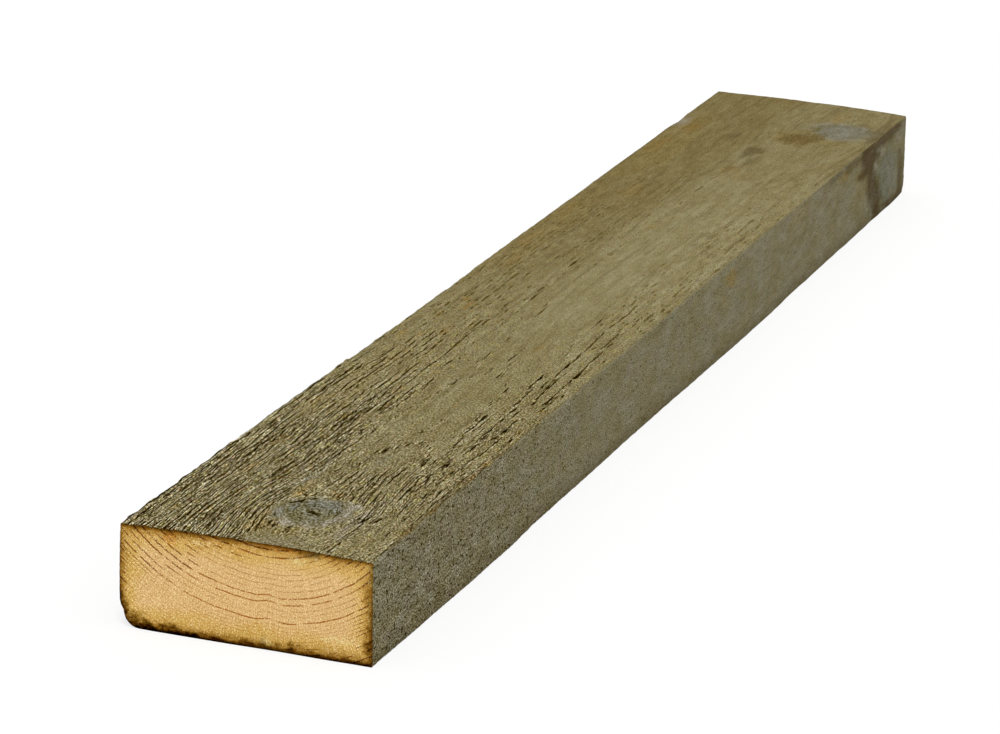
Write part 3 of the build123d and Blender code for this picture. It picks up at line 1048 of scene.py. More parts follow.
def build_board(grid, relief, points):
    """The board's mesh: the long grid, and at each end inner points with triangles."""
    rows, columns = grid.along.shape
    quads = grid_faces(rows, columns)
    parts = [points.reshape(-1, 3)]
    caps = []
    start = rows * columns
    ends = ((0, NEAR_END, -1.0, 80, 82), (rows - 1, FAR_END, 1.0, 81, 84))
    for row, end, outward, shake_seed, relief_seed in ends:
        inner, triangles = end_cap(points[row][:, 1:], SEED + shake_seed)
        index = np.concatenate([row * columns + np.arange(columns), start + np.arange(len(inner))])
        parts.append(np.column_stack([end + outward * end_relief(*inner.T, relief_seed), inner]))
        turned = [triangle if outward < 0.0 else reversed(triangle) for triangle in triangles]
        caps.append([[int(index[v]) for v in triangle] for triangle in turned])
        start += len(inner)
    everything = np.concatenate(parts)
    faces = quads.tolist() + caps[0] + caps[1]

    mesh = smooth_mesh("board_wood", everything, faces)
    slots = np.zeros(len(faces), np.int32)
    slots[len(quads):] = 1
    mesh.polygons.foreach_set("material_index", slots)
    sharpen_ends(mesh, rows, columns)
    write_long_attributes(mesh, grid, *relief[1:])
    write_end_attributes(mesh, everything)
    write_map(mesh, grid, everything, len(quads), len(caps[0]))
    return mesh


def smooth_mesh(name, points, faces):
    """A mesh in metres with soft shading, from points in millimetres."""
    mesh = bpy.data.meshes.new(name)
    mesh.from_pydata((points * MM).tolist(), [], faces)
    mesh.polygons.foreach_set("use_smooth", np.ones(len(faces), bool))
    return mesh


def sharpen_ends(mesh, rows, columns):
    """Keeps the shading of the ends apart from that of the long faces."""
    edges = np.empty(len(mesh.edges) * 2, np.int32)
    mesh.edges.foreach_get("vertices", edges)
    edges = edges.reshape(-1, 2)
    last = (rows - 1) * columns
    at_near = (edges < columns).all(1)
    at_far = ((edges >= last) & (edges < last + columns)).all(1)
    sharp = mesh.attributes.new("sharp_edge", "BOOLEAN", "EDGE")
    sharp.data.foreach_set("value", at_near | at_far)


def write_vector(mesh, name, *columns):
    """Writes up to three numbers for each point. Points and numbers that are missing get zeros."""
    values = np.zeros((len(mesh.vertices), 3), np.float32)
    for index, column in enumerate(columns):
        values[:column.size, index] = column.ravel()
    mesh.attributes.new(name, "FLOAT_VECTOR", "POINT").data.foreach_set("vector", values.ravel())


FARTHEST_KNOT = 4.0         # distances from a knot are cut off here
BARK_EDGE = (0.5, -0.3)     # bark fades into the side from here to there, over the wane's upper edge
# Warmer wood towards the left and the far end
WARM_ACROSS = (-2.0, 14.0)
WARM_ALONG = (-130.0, 110.0)
WARM_FAR_ALONG = (60.0, 200.0)
WARM_FAR_SHARE = 0.5
RAY_RADIUS = 58.0           # turns round the pith count as lengths at this distance from it


def write_long_attributes(mesh, grid, cut, burr, torn):
    """Writes what the material of the long faces reads: the run of the grain, the relief and the stains."""
    along, across, up = grid.along, grid.across, grid.up
    exposed = (grid.region == EXPOSED).astype(float) + np.zeros_like(along)
    on_side = (grid.region == RIGHT).astype(float)
    fibre = np.zeros_like(along)
    for region in (EXPOSED, RIGHT, BACK, LEFT):
        columns = np.flatnonzero(grid.region == region)
        fibre[:, columns] = fibre_across(region, along[:, columns], across[:, columns], up[:, columns])

    def stain(patches, side_patches=()):
        on_exposed = patches_at(patches, *as_marked(along, across)) * exposed
        return on_exposed + patches_at(side_patches, along, up) * on_side

    warm = rise(across, *WARM_ACROSS) * rise(along, *WARM_ALONG)
    warm = exposed * (warm + WARM_FAR_SHARE * rise(along, *WARM_FAR_ALONG))
    write_vector(mesh, "grain", along, fibre)
    write_vector(mesh, "relief", cut, burr, np.minimum(knot_reach(along, across, up), FARTHEST_KNOT))
    brown, dark = stain(BROWN_PATCHES, SIDE_BROWN_PATCHES), stain(DARK_PATCHES, SIDE_DARK_PATCHES)
    write_vector(mesh, "stains", brown, stain(GREY_PATCHES), dark)
    write_vector(mesh, "place", 1.0 - exposed, (grid.region == LEFT) * over_wane(along, up, BARK_EDGE))
    write_vector(mesh, "tear", torn, up, across)
    blue = stain(BLUE_PATCHES, SIDE_BLUE_PATCHES)
    write_vector(mesh, "tint", np.minimum(warm, 1.0), stain(AMBER_SPOTS), blue)


def write_end_attributes(mesh, everything):
    """Writes what the material of the ends reads: the rings, the rays, the stains and the rims."""
    along, across, up = everything.T
    write_vector(mesh, "end_grain", across, up, ring_count(ring_height(along, across, up)))
    write_vector(mesh, "rim", THICKNESS + crown(across) - up, left_clearance(across, up), across - RIGHT_SIDE)
    beside, below = across - PITH_ACROSS, pith_up(across) - up
    write_vector(mesh, "rays", np.arctan2(beside, below) * RAY_RADIUS, np.hypot(beside, below))
    for name, tables in (
        ("end_stains", (END_ORANGE, END_DIRT, END_FRESH)),
        ("end_lines", (END_LINES, END_GREEN, END_PALE)),
    ):
        write_vector(mesh, name, *[patches_at(table, across, up) for table in tables])


def left_clearance(across, up):
    """Distance on the near end from its left edge, wane included."""
    off_across = np.maximum(across - (LEFT_SIDE - WANE_REACH), 0.0) / WANE_REACH
    off_up = np.maximum(WANE_RISE - up, 0.0) / WANE_RISE
    from_wane = (1.0 - np.hypot(off_across, off_up)) * (WANE_REACH + WANE_RISE) / 2
    return np.where(up < WANE_RISE, from_wane, LEFT_SIDE - across)


def write_map(mesh, grid, everything, long_count, near_count):
    """Lays the board out flat for baking: the long faces unrolled above, the two ends side by side below."""
    rows, columns = grid.along.shape
    middle = rows // 2
    loop = np.stack([grid.across[middle], grid.up[middle]], -1)
    steps = np.linalg.norm(np.roll(loop, -1, axis=0) - loop, axis=1)
    around = np.concatenate([[0.0], np.cumsum(steps)]) / steps.sum()
    uv = np.zeros((len(mesh.loops), 2), np.float32)
    row, column = np.meshgrid(np.arange(rows - 1), np.arange(columns), indexing="ij")
    for corner, (row_step, column_step) in enumerate(((0, 0), (1, 0), (1, 1), (0, 1))):
        shares = (grid.stations[row + row_step] - NEAR_END) / LENGTH, around[column + column_step]
        place = MAP_LONG_START_SHARES + np.array(MAP_LONG_SIZE_SHARES) * np.stack(shares, -1).reshape(-1, 2)
        uv[corner: long_count * 4: 4] = place
    vertex = np.empty(len(mesh.loops), np.int32)
    mesh.loops.foreach_get("vertex_index", vertex)
    ends = np.arange(long_count * 4, len(mesh.loops))
    far = ends >= long_count * 4 + near_count * 3
    off = everything[vertex[ends], 1:] - (RIGHT_SIDE, 0.0) + MAP_END_MARGIN
    sizes = np.array([WIDTH, HEIGHT]) + 2 * MAP_END_MARGIN
    uv[ends] = MAP_END_START_SHARES + np.array(MAP_END_SIZE_SHARES) * off / sizes
    uv[ends[far], 0] += MAP_FAR_END_SHARE
    mesh.uv_layers.new(name="OFBake").data.foreach_set("uv", uv.ravel())


# Loose fibres that the saw has raised

FIBRE_COUNT = 1700
FIBRE_TRIES = 12            # places tried for each fibre
FIBRE_RINGS = 3             # rings of three points between the two tips of a fibre
FIBRE_CLEAR_NEAR = 1.0      # from the near end
FIBRE_CLEAR_FAR = 8.0       # from the far end
FIBRE_TORN = (0.15, 0.85)   # how likely one is on smooth wood, and how much likelier on torn wood
FIBRE_ALONG = (120.0, -80.0)
FIBRE_FRESH = (0.45, 0.55)  # on the far half, and how much likelier on the near one
LEFT_EDGE_COLUMNS = 6       # along these columns they are likelier still
LEFT_EDGE_MORE = 0.5
RIGHT_EDGE_COLUMNS = 5
RIGHT_EDGE_MORE = 0.2
FIBRE_LENGTH = (1.2, 5.0)   # the least, and how much more at random
LENGTH_POWER = 2.2
FIBRE_THICKNESS = (0.04, 0.09)
FIBRE_LIFT = (0.02, 0.15)
HIGH_LIFT = 0.5             # how much more a few of them rise
HIGH_LIFT_POWER = 6
FIBRE_DRIFT = 0.12
FIBRE_CURL = 0.18
SWAY_SHARE = 0.35           # of a fibre's length
ROOT_DEPTH = 0.06           # how deep a fibre starts in the face
LIFT_POWER = 1.4
GIRTH_SPAN = (0.12, 0.8)    # the part of a half wave that gives a fibre its girth

# Large splinters: where the two tips lie, how thick and how far they arch off the face
Splinter = namedtuple("Splinter", "along across end_along end_across thick lift")
SPLINTERS = listed(Splinter, (
    (-134.5, -25, -140, -32.7, 0.22, 0.5), (-152.7, 25.9, -147.3, 19.4, 0.2, 0.4),
    (-241.5, 31.5, -238.5, 27, 0.14, 0.5), (-101.5, 36, -97, 33.5, 0.18, 0.3),
    (-168, 26.5, -160, 24.5, 0.16, 0.4), (-186, -20, -180.5, -23, 0.16, 0.5),
    (-144, 17.2, -136, 15, 0.14, 0.3), (-222, 24, -215, 25.5, 0.14, 0.4),
    (-157, -24, -149.5, -26.5, 0.16, 0.4), (-129, 12.5, -121, 13.8, 0.14, 0.3),
    (-118, -30, -112, -32.2, 0.16, 0.4), (-207, -26.5, -201, -29, 0.15, 0.4),
))
SPLINTER_SPAN = (0.1, 0.85)     # the part of a half wave that gives its arch
SPLINTER_CLEAR = 0.05


def surface_point(points, rows, columns):
    """Places on the grid between its points, for row and column numbers that need not be whole."""
    row = np.clip(np.floor(rows).astype(int), 0, points.shape[0] - 2)
    column = np.clip(np.floor(columns).astype(int), 0, points.shape[1] - 2)
    down, right = (rows - row)[..., None], (columns - column)[..., None]
    low = points[row, column] * (1 - down) + points[row + 1, column] * down
    high = points[row, column + 1] * (1 - down) + points[row + 1, column + 1] * down
    return low * (1 - right) + high * right


def row_numbers(grid, along):
    """The grid's row numbers, not always whole, at places along the board."""
    return np.interp(along, grid.stations, np.arange(len(grid.stations)))


def fibre_starts(grid, torn, random):
    """Places along and column numbers where fibres start, mostly on the torn parts of the exposed face."""
    tries = FIBRE_COUNT * FIBRE_TRIES
    along = random.uniform(NEAR_END + FIBRE_CLEAR_NEAR, FAR_END - FIBRE_CLEAR_FAR, tries)
    rows = row_numbers(grid, along)
    columns = random.uniform(0.0, FACE_COLUMNS - 1.0, tries)
    share = grown(torn[rows.astype(int), columns.astype(int)], *FIBRE_TORN)
    share = share * grown(rise(along, *FIBRE_ALONG), *FIBRE_FRESH)
    share = share + LEFT_EDGE_MORE * (columns < LEFT_EDGE_COLUMNS)
    share = share + RIGHT_EDGE_MORE * (columns > FACE_COLUMNS - RIGHT_EDGE_COLUMNS)
    across = surface_point(grid.across[..., None], rows, columns)[:, 0]
    share = share * rise(knot_reach(along, across, THICKNESS), *KNOT_CLEAR_SHARES)
    kept = np.flatnonzero(random.random(tries) < share)[:FIBRE_COUNT]
    return along[kept], columns[kept]


def build_fibres(grid, points, torn):
    """The loose fibres and the splinters as one mesh of closed, three-sided threads."""
    random = np.random.default_rng(SEED + 90)
    along, columns = fibre_starts(grid, torn, random)
    count = len(along)
    length = grown(random.random(count) ** LENGTH_POWER, *FIBRE_LENGTH)
    thick = random.uniform(*FIBRE_THICKNESS, count)
    lift = random.uniform(*FIBRE_LIFT, count) + HIGH_LIFT * random.random(count) ** HIGH_LIFT_POWER
    drift = random.normal(0.0, FIBRE_DRIFT, count)
    curl = random.normal(0.0, FIBRE_CURL, count)
    outward = np.stack([np.zeros_like(grid.along), grid.out_across, grid.out_up], -1)

    steps = np.linspace(0.0, 1.0, FIBRE_RINGS + 2)
    spine = []
    for step in steps:
        rows = row_numbers(grid, along + length * step)
        height = (lift + ROOT_DEPTH) * step**LIFT_POWER - ROOT_DEPTH
        raised = surface_point(outward, rows, columns) * height[:, None]
        middle = surface_point(points, rows, columns) + raised
        middle[:, 1] += (drift * step + curl * step**2) * length * SWAY_SHARE
        spine.append(middle)
    spine = np.concatenate([np.stack(spine, 1), splinter_spines(grid, points, steps)])
    thick = np.concatenate([thick, [t.thick for t in SPLINTERS]])
    count = len(thick)

    girth = np.sin(np.pi * grown(steps[1:-1], *GIRTH_SPAN)) * thick[:, None]
    turns = np.radians([90.0, 210.0, 330.0])
    rings = np.repeat(spine[:, 1:-1, None, :], 3, axis=2)
    rings[..., 1] += girth[:, :, None] * np.cos(turns)
    rings[..., 2] += girth[:, :, None] * np.sin(turns)
    vertices = np.concatenate([spine[:, :1], rings.reshape(count, -1, 3), spine[:, -1:]], axis=1)
    each = vertices.shape[1]
    faces = np.array(one_fibre_faces(each))
    all_faces = (faces[None] + (np.arange(count) * each)[:, None, None]).reshape(-1, 3)

    mesh = smooth_mesh("torn_fibres", vertices.reshape(-1, 3), all_faces.tolist())
    tone, tint = [np.repeat(random.random(count), each) for _ in range(2)]
    write_vector(mesh, "fibre_tone", tone, tint)
    write_cells(mesh, count, len(faces))
    return mesh


def splinter_spines(grid, points, steps):
    """The middle lines of the large splinters, arched over the face from tip to tip."""
    spines = []
    for t in SPLINTERS:
        start, end = np.array(on_face(t.along, t.across)), np.array(on_face(t.end_along, t.end_across))
        place = start + (end - start) * steps[:, None]
        columns = (LEFT_SIDE - FACE_ARRIS - place[:, 1]) / (WIDTH - 2 * FACE_ARRIS) * (FACE_COLUMNS - 1)
        base = surface_point(points, row_numbers(grid, place[:, 0]), np.maximum(columns, 0.0))
        base[:, 2] += t.lift * np.sin(np.pi * grown(steps, *SPLINTER_SPAN)) + SPLINTER_CLEAR
        spines.append(base)
    return np.array(spines)


def one_fibre_faces(each):
    """Triangles of a closed fibre: a tip, rings of three points and another tip."""
    faces = [(0, 1 + (k + 1) % 3, 1 + k) for k in range(3)]
    for ring in range(FIBRE_RINGS - 1):
        low, high = 1 + 3 * ring, 4 + 3 * ring
        for k in range(3):
            after = (k + 1) % 3
            faces += [(low + k, low + after, high + k), (low + after, high + after, high + k)]
    last = each - 4
    return faces + [(last + k, last + (k + 1) % 3, each - 1) for k in range(3)]


CELL_CORNERS = ((0.2, 0.2), (0.8, 0.2), (0.5, 0.8))


def write_cells(mesh, count, faces_each):
    """Gives every fibre a small cell of the map to itself."""
    side = math.ceil(math.sqrt(count))
    index = np.repeat(np.arange(count), faces_each * 3)
    corner = np.tile(np.array(CELL_CORNERS), (count * faces_each, 1))
    uv = (np.stack([index % side, index // side], -1) + corner) / side
    mesh.uv_layers.new(name="OFBake").data.foreach_set("uv", uv.astype(np.float32).ravel())


# Materials


def paint(red, green, blue):
    """A linear colour from the three numbers, out of 255, that it shows on a screen."""
    def linear(value):
        share = value / 255.0
        return share / 12.92 if share <= 0.04045 else ((share + 0.055) / 1.055) ** 2.4
    return linear(red), linear(green), linear(blue), 1.0


class Value:
    """A node's output that takes part in sums. Every operation on it adds a node."""

    def __init__(self, shade, socket):
        self.shade = shade
        self.socket = socket

    def math(self, operation, *others):
        return self.shade.math(operation, self, *others)

    def __add__(self, other):
        return self.math("ADD", other)

    def __sub__(self, other):
        return self.math("SUBTRACT", other)

    def __rsub__(self, other):
        return self.shade.math("SUBTRACT", other, self)

    def __mul__(self, other):
        return self.math("MULTIPLY", other)

    def __truediv__(self, number):
        return self.math("MULTIPLY", 1.0 / number)

    __radd__ = __add__
    __rmul__ = __mul__

    def at_least(self, other):
        return self.math("MAXIMUM", other)

    def at_most(self, other):
        return self.math("MINIMUM", other)

    def grow(self, least, growth):
        """One amount at 0, and that amount with the growth added at 1."""
        return self * growth + least

    def fade(self, low, high):
        """0 below low, 1 above high and smooth between them. low may be the larger one."""
        inputs = {0: self, 1: low, 2: high, 3: 0.0, 4: 1.0}
        return self.shade.value("ShaderNodeMapRange", inputs, interpolation_type="SMOOTHSTEP")


# Noise on a surface: how long and how wide its flecks are, its place in the noise, its octaves of finer
# detail and how strong each one is
Pattern = namedtuple("Pattern", "length width place detail roughness", defaults=(2.0, 0.5))
MIDDLE = 0.5                # the middle of any noise


class Shade:
    """Builds one material. Any input takes a number, a colour or a value."""

    def __init__(self, name):
        self.material = bpy.data.materials.new(name)
        self.material.use_nodes = True
        self.tree = self.material.node_tree
        self.surface = self.tree.nodes["Principled BSDF"]

    def node(self, kind, inputs=(), **settings):
        """A node with its settings and with its inputs fed."""
        made = self.tree.nodes.new(kind)
        for name, value in settings.items():
            setattr(made, name, value)
        for key, value in dict(inputs).items():
            self.feed(made.inputs[key], value)
        return made

    def value(self, kind, inputs=(), output=0, **settings):
        """One output of such a node."""
        return Value(self, self.node(kind, inputs, **settings).outputs[output])

    def feed(self, socket, value):
        if isinstance(value, Value):
            self.tree.links.new(value.socket, socket)
        else:
            socket.default_value = value

    def math(self, operation, *terms):
        return self.value("ShaderNodeMath", enumerate(terms), operation=operation)

    def parts(self, name):
        """The three numbers of a vector attribute."""
        source = self.value("ShaderNodeAttribute", output="Vector", attribute_name=name)
        split = self.node("ShaderNodeSeparateXYZ", {0: source})
        return [Value(self, socket) for socket in split.outputs]

    def vector(self, x, y, z):
        return self.value("ShaderNodeCombineXYZ", {0: x, 1: y, 2: z})

    def noise(self, pattern, x, y, place=0.0):
        """Noise from 0 to 1 in a pattern, at a place further into the noise."""
        inputs = {
            "Vector": self.vector(x / pattern.length, y / pattern.width, place + pattern.place),
            "Scale": 1.0,
            "Detail": pattern.detail,
            "Roughness": pattern.roughness,
        }
        return self.value("ShaderNodeTexNoise", inputs, "Fac")

    def mix(self, factor, first, second, blend="MIX"):
        """The first colour at a factor of 0 and the second at 1, or the two multiplied."""
        inputs = {0: factor, 6: first, 7: second}
        return self.value("ShaderNodeMix", inputs, 2, data_type="RGBA", blend_type=blend)

    def bump(self, height, distance, strength):
        inputs = {"Height": height, "Distance": distance, "Strength": strength}
        return self.value("ShaderNodeBump", inputs)

    def finish(self, colour, roughness, normal, specular):
        self.feed(self.surface.inputs["Base Color"], colour)
        self.feed(self.surface.inputs["Roughness"], roughness)
        self.feed(self.surface.inputs["Normal"], normal)
        self.surface.inputs["Specular IOR Level"].default_value = specular
        return self.material


# The treated faces

SMOOTH_OLIVE = paint(147, 139, 104)
PLAIN_OLIVE = paint(138, 128, 91)
DEEP_OLIVE = paint(103, 92, 58)
RUST = paint(158, 122, 78)
MOSS = paint(154, 144, 84)
PURPLE_BROWN = paint(124, 108, 86)
STRAW = paint(206, 196, 148)
STAIN_BROWN = paint(136, 116, 66)
DEEP_BROWN = paint(70, 52, 26)
KNOT_GREY = paint(126, 124, 104)
KNOT_PALE = paint(158, 151, 134)
KNOT_GREEN = paint(112, 107, 76)
BLUE_GREY = paint(122, 123, 115)
MAUVE_GREY = paint(160, 153, 142)
AMBER = paint(154, 122, 60)
WARM_TINT = paint(229, 221, 203)
LOW_TINT = paint(222, 218, 212)
SIDE_BLUE = paint(112, 114, 100)
SIDE_GREY = paint(132, 127, 105)
SIDE_OLIVE = paint(124, 117, 87)
SIDE_MAUVE = paint(126, 116, 100)
SIDE_GREEN = paint(114, 115, 92)
BARK = paint(50, 36, 18)

# How much of each colour covers the one below
SIDE_SHARE = 0.85
KNOT_SHARE = 0.85
KNOT_RING_SHARE = 0.7
BLUE_SHARE = 0.6
AMBER_SHARE = 0.8
BARK_SHARE = 0.9
BROWN_SHARE = 0.8
GREY_SHARE = 0.8
BAND_SHARE = 0.4
GREEN_SHARE = 0.3
SIDE_MAUVE_SHARE = 0.8
SIDE_GREEN_SHARE = 0.7

# Where things lie along the board: from here, where they are absent, to there, where they are full
FRESH = (30.0, -180.0)          # crisp tears
MOSSY = (60.0, -80.0)           # moss
SIDE_NEAR = (-60.0, -210.0)     # crisp pits in the sides
SIDE_WORN = (100.0, -60.0)      # any pits in them
STAIN_NEAR = (50.0, -50.0)      # crumbs in the stains
KNOT_NEAR = (100.0, 0.0)        # marks in a knot
LOW_ON_SIDE = (6.0, 0.5)        # darker towards the floor, up the side

# Patterns on the treated faces
LINE_BEND = Pattern(13, 3, 1.5)
FLAME = Pattern(3, 1, 17, 2, 0.6)
CLOUD = Pattern(20, 6, 1, 3)
BAND = Pattern(38, 2.3, 5, 3, 0.6)
TINT = Pattern(5, 1.6, 8, 3, 0.6)
RUST_SPOTS = Pattern(2.6, 0.9, 14, 2, 0.6)
MOTTLE = Pattern(6, 2, 6)
HAIR = Pattern(1.3, 0.40, 3, 2, 0.65)
SPECK = Pattern(0.95, 0.34, 9, 1)
STREAK = Pattern(10, 1.1, 4, 3, 0.6)
ROW_DRIFT = Pattern(13, 1, 0)
SHORT_DASHES = Pattern(5.5, 1, 3, 2, 0.6)
LONG_DASHES = Pattern(15, 1, 5, 3, 0.6)
SIDE_CLOUD = Pattern(14, 7, 9, 3)
SIDE_TINT = Pattern(5, 3.5, 10, 3, 0.6)
SIDE_GRIT = Pattern(0.65, 0.42, 7, 2, 0.65)
SIDE_PITS = Pattern(1.7, 1.1, 13, 1)
SIDE_STREAK = Pattern(7, 0.9, 12)
SIDE_MOTTLE = Pattern(6.5, 3, 14, 3, 0.6)
KNOT_CLOUD = Pattern(5, 3.5, 0)
KNOT_FLECK = Pattern(0.9, 0.6, 0, 3, 0.7)
KNOT_BLUE = Pattern(8, 4, 9, 3)
STAIN_EDGE = Pattern(1.6, 0.8, 11, 3, 0.6)

LINE_BEND_HEIGHT = 0.8          # how far the drawn lines wander across the fibres
FACE_PALE_POWERS = (1.06, 1.30)
FACE_DARK_POWERS = (1.16, 1.85)
FACE_BUMP = (0.0004, 0.7)       # metres and strength
BURR_SHOWN = (0.1, 0.6)
BURR_PAINTED_HIGHLIGHT = (0.1, 0.25)     # painted highlight on burrs: where the tears are blunt, and how much more where they are fresh
CUT_SHOWN = (0.22, 0.62)
CUT_PAINTED_SHADE = (-1.0, -1.5)     # painted shade in cuts, likewise
HAIR_HEIGHT = (0.3, 0.8)        # on smooth wood, and how much more on torn wood
HAIR_ROUGHNESS = (0.8, 0.15)


def treated_material():
    """Olive, preservative-soaked sawn wood."""
    s = Shade("treated_wood")
    along, fibre, _ = s.parts("grain")
    cut, burr, knot = s.parts("relief")
    beside, bark, _ = s.parts("place")
    torn, up, across = s.parts("tear")
    warm, amber, blue = s.parts("tint")
    facing = 1.0 - beside
    fresh = along.fade(*FRESH)
    line = fibre + (s.noise(LINE_BEND, along, fibre) - MIDDLE) * LINE_BEND_HEIGHT
    weight = torn * knot.fade(*KNOT_EDGE_SHARES)

    colour = face_colour(s, along, line, weight)
    side, side_depth, side_height = side_shade(s, along, fibre)
    side = s.mix(up.fade(*LOW_ON_SIDE), side, LOW_TINT, "MULTIPLY")
    colour = s.mix(beside * SIDE_SHARE, colour, side)
    knot_colour, in_knot, knot_depth = knot_shade(s, along, across, up, knot)
    colour = s.mix(in_knot * KNOT_SHARE, colour, knot_colour)
    colour = s.mix(blue * BLUE_SHARE, colour, s.mix(beside, BLUE_GREY, SIDE_BLUE))
    flame = s.noise(FLAME, along, fibre).fade(0.30, 0.62)
    colour = s.mix(amber * flame * AMBER_SHARE, colour, AMBER)
    colour = s.mix(warm, colour, WARM_TINT, "MULTIPLY")
    colour, crumb = stained(s, colour, along, fibre)

    face_depth, splits, hair = face_texture(s, along, line, weight, fresh)
    depth = face_depth * facing + side_depth * beside + knot_depth + crumb
    # Painted highlight on the burrs and painted shade in the cuts
    depth = depth + burr.fade(*BURR_SHOWN) * fresh.grow(*BURR_PAINTED_HIGHLIGHT)
    depth = depth + cut.fade(*CUT_SHOWN) * fresh.grow(*CUT_PAINTED_SHADE)
    colour = deepened(s, colour, depth, FACE_PALE_POWERS, FACE_DARK_POWERS)
    colour = s.mix(bark * BARK_SHARE, colour, BARK)

    face_height = hair * weight.grow(*HAIR_HEIGHT) - splits
    height = face_height * facing + side_height * beside
    return s.finish(colour, hair.grow(*HAIR_ROUGHNESS), s.bump(height, *FACE_BUMP), 0.0)


PALE_GROWTH = (0.06, 0.7)   # past the first, a shade turns paler at this share only


def deepened(s, colour, depth, pale_powers, dark_powers):
    """Paler or deeper, as thinner or thicker stain, painted shade and painted highlights make it, with powers
    for green and blue.
    """
    depth = depth.at_most(depth.grow(*PALE_GROWTH))
    shares = [depth.math("EXPONENT")]
    for pale_power, dark_power in zip(pale_powers, dark_powers):
        shares.append((depth * pale_power).at_most(depth * dark_power).math("EXPONENT"))
    return s.mix(1.0, colour, s.vector(*shares), "MULTIPLY")


# Cracks that are only drawn, dark with painted shade: the distance between their rows, and the rows' place in
# the noise
Rows = namedtuple("Rows", "spacing place")
COARSE_ROWS = Rows(1.7, 11.0)
FINE_ROWS = Rows(0.8, 29.0)
COARSE_HALF_WIDTH = (0.22, 0.30)    # where the tears are fresh, and how much wider where they are blunt
FINE_HALF_WIDTH = 0.15
FINE_SPLIT_SHARE = 0.6
FINE_HIGHLIGHT_SHARE = 0.4
SPLIT_FRESHNESS = (0.16, 0.84)
HIGHLIGHT_FRESHNESS = (0.2, 0.8)
# The cracks' darkness is painted shade, and the paleness of their lips is a painted highlight
SPLIT_PAINTED_SHADE = -2.55
LIP_PAINTED_HIGHLIGHT = 0.44
HAIR_SHOWN = (0.38, 0.60)
SPECK_SHOWN = (0.40, 0.60)
# How strong each texture is on smooth wood, and how much stronger on torn wood
HAIR_WEIGHT = (0.45, 1.15)
SPECK_WEIGHT = (0.9, 0.85)
MOTTLE_WEIGHT = (0.5, 0.8)
# How strong it is where the tears are blunt, and how much stronger where they are fresh
FLECK_CRISPNESS = (0.28, 0.72)
CRISPNESS_POWER = 1.4
STREAK_FRESHNESS = (0.15, 0.8)
TORN_STREAK_FRESHNESS = (0.8, 0.5)
FRESH_DARKNESS = -0.16


def face_texture(s, along, line, weight, fresh):
    """The exposed face's flecks, painted shade in cracks and painted lip highlights as a depth of shade;
    cracks and hairs alone.
    """
    half_width = (1.0 - fresh).grow(*COARSE_HALF_WIDTH)
    coarse, coarse_highlight = crack_row(s, along, line, weight, fresh, COARSE_ROWS, half_width)
    fine, fine_highlight = crack_row(s, along, line, weight * fresh, 0.0, FINE_ROWS, FINE_HALF_WIDTH)
    splits = (coarse * fresh.grow(*SPLIT_FRESHNESS)).at_least(fine * fresh * FINE_SPLIT_SHARE)
    lip_highlights = (coarse_highlight + fine_highlight * FINE_HIGHLIGHT_SHARE) * fresh.grow(*HIGHLIGHT_FRESHNESS)
    hair = s.noise(HAIR, along, line)
    speck = s.noise(SPECK, along, line)
    flecks = (hair.fade(*HAIR_SHOWN) - MIDDLE) * weight.grow(*HAIR_WEIGHT)
    flecks = flecks + (speck.fade(*SPECK_SHOWN) - MIDDLE) * weight.grow(*SPECK_WEIGHT)
    crisp = fresh.math("POWER", CRISPNESS_POWER)
    depth = flecks * crisp.grow(*FLECK_CRISPNESS) + fresh * FRESH_DARKNESS
    depth = depth + (s.noise(MOTTLE, along, line) - MIDDLE) * weight.grow(*MOTTLE_WEIGHT)
    streaked = fresh.grow(*STREAK_FRESHNESS) + weight * fresh.grow(*TORN_STREAK_FRESHNESS)
    depth = depth + (s.noise(STREAK, along, line) - MIDDLE) * streaked
    return depth + lip_highlights * LIP_PAINTED_HIGHLIGHT + splits * SPLIT_PAINTED_SHADE, splits, hair


LANE_STEP = 7.31                # between two rows, in the noise
LANE_DASH_SHARE = 1.7
ROW_WANDER_SHARE = 1.3          # in shares of the rows' spacing
LONG_DASH_SHARE = 0.8
TORN_DASH_SHARE = 0.36          # how much more is cracked where the wood is torn
DASH_SHOWN = (0.66, 0.78)
LEAST_WIDTH = 0.03
CORE_SHARE = 0.35               # the fully dark part of a crack's width
HIGHLIGHT_SHIFT = -0.08               # the painted highlights lie off the crack's middle by this much
HIGHLIGHT_INNER_SHARES = (0.9, 1.7)   # shares of the half width between which a painted highlight begins
HIGHLIGHT_OUTER_SHARES = (3.4, 1.9)   # and between which it ends


def crack_row(s, along, line, weight, long_share, rows, half_width):
    """Thin cracks in rows along the grain, broken into dashes, dark with painted shade, with painted
    highlights on both lips.
    """
    scaled = line / rows.spacing
    row = scaled.math("FLOOR")
    lane = row * LANE_STEP + rows.place
    drift = s.noise(ROW_DRIFT, along, lane, rows.place) - MIDDLE
    off = (scaled - row - (drift * ROW_WANDER_SHARE + MIDDLE)) * rows.spacing
    short = s.noise(SHORT_DASHES, along, lane * LANE_DASH_SHARE, rows.place)
    long = s.noise(LONG_DASHES, along, lane * LANE_DASH_SHARE, rows.place)
    dash = short + (long - short) * (long_share * LONG_DASH_SHARE)
    kept = (dash + weight * TORN_DASH_SHARE).fade(*DASH_SHOWN)
    width = kept * half_width + LEAST_WIDTH
    # The core is painted shade and the band beside it a painted highlight; the core also makes the bump
    core = off.math("ABSOLUTE").fade(width, width * CORE_SHARE) * kept
    beside = (off + HIGHLIGHT_SHIFT).math("ABSOLUTE")
    inner = beside.fade(*[half_width * share for share in HIGHLIGHT_INNER_SHARES])
    outer = beside.fade(*[half_width * share for share in HIGHLIGHT_OUTER_SHARES])
    return core, inner * outer * kept


TINT_WEIGHT = (0.35, 0.85)      # tints on smooth wood, and how much more on torn wood
RUST_WEIGHT = (0.25, 0.5)
MOSS_FRESHNESS = (0.4, 0.6)     # moss at the far end, and how much more at the near one


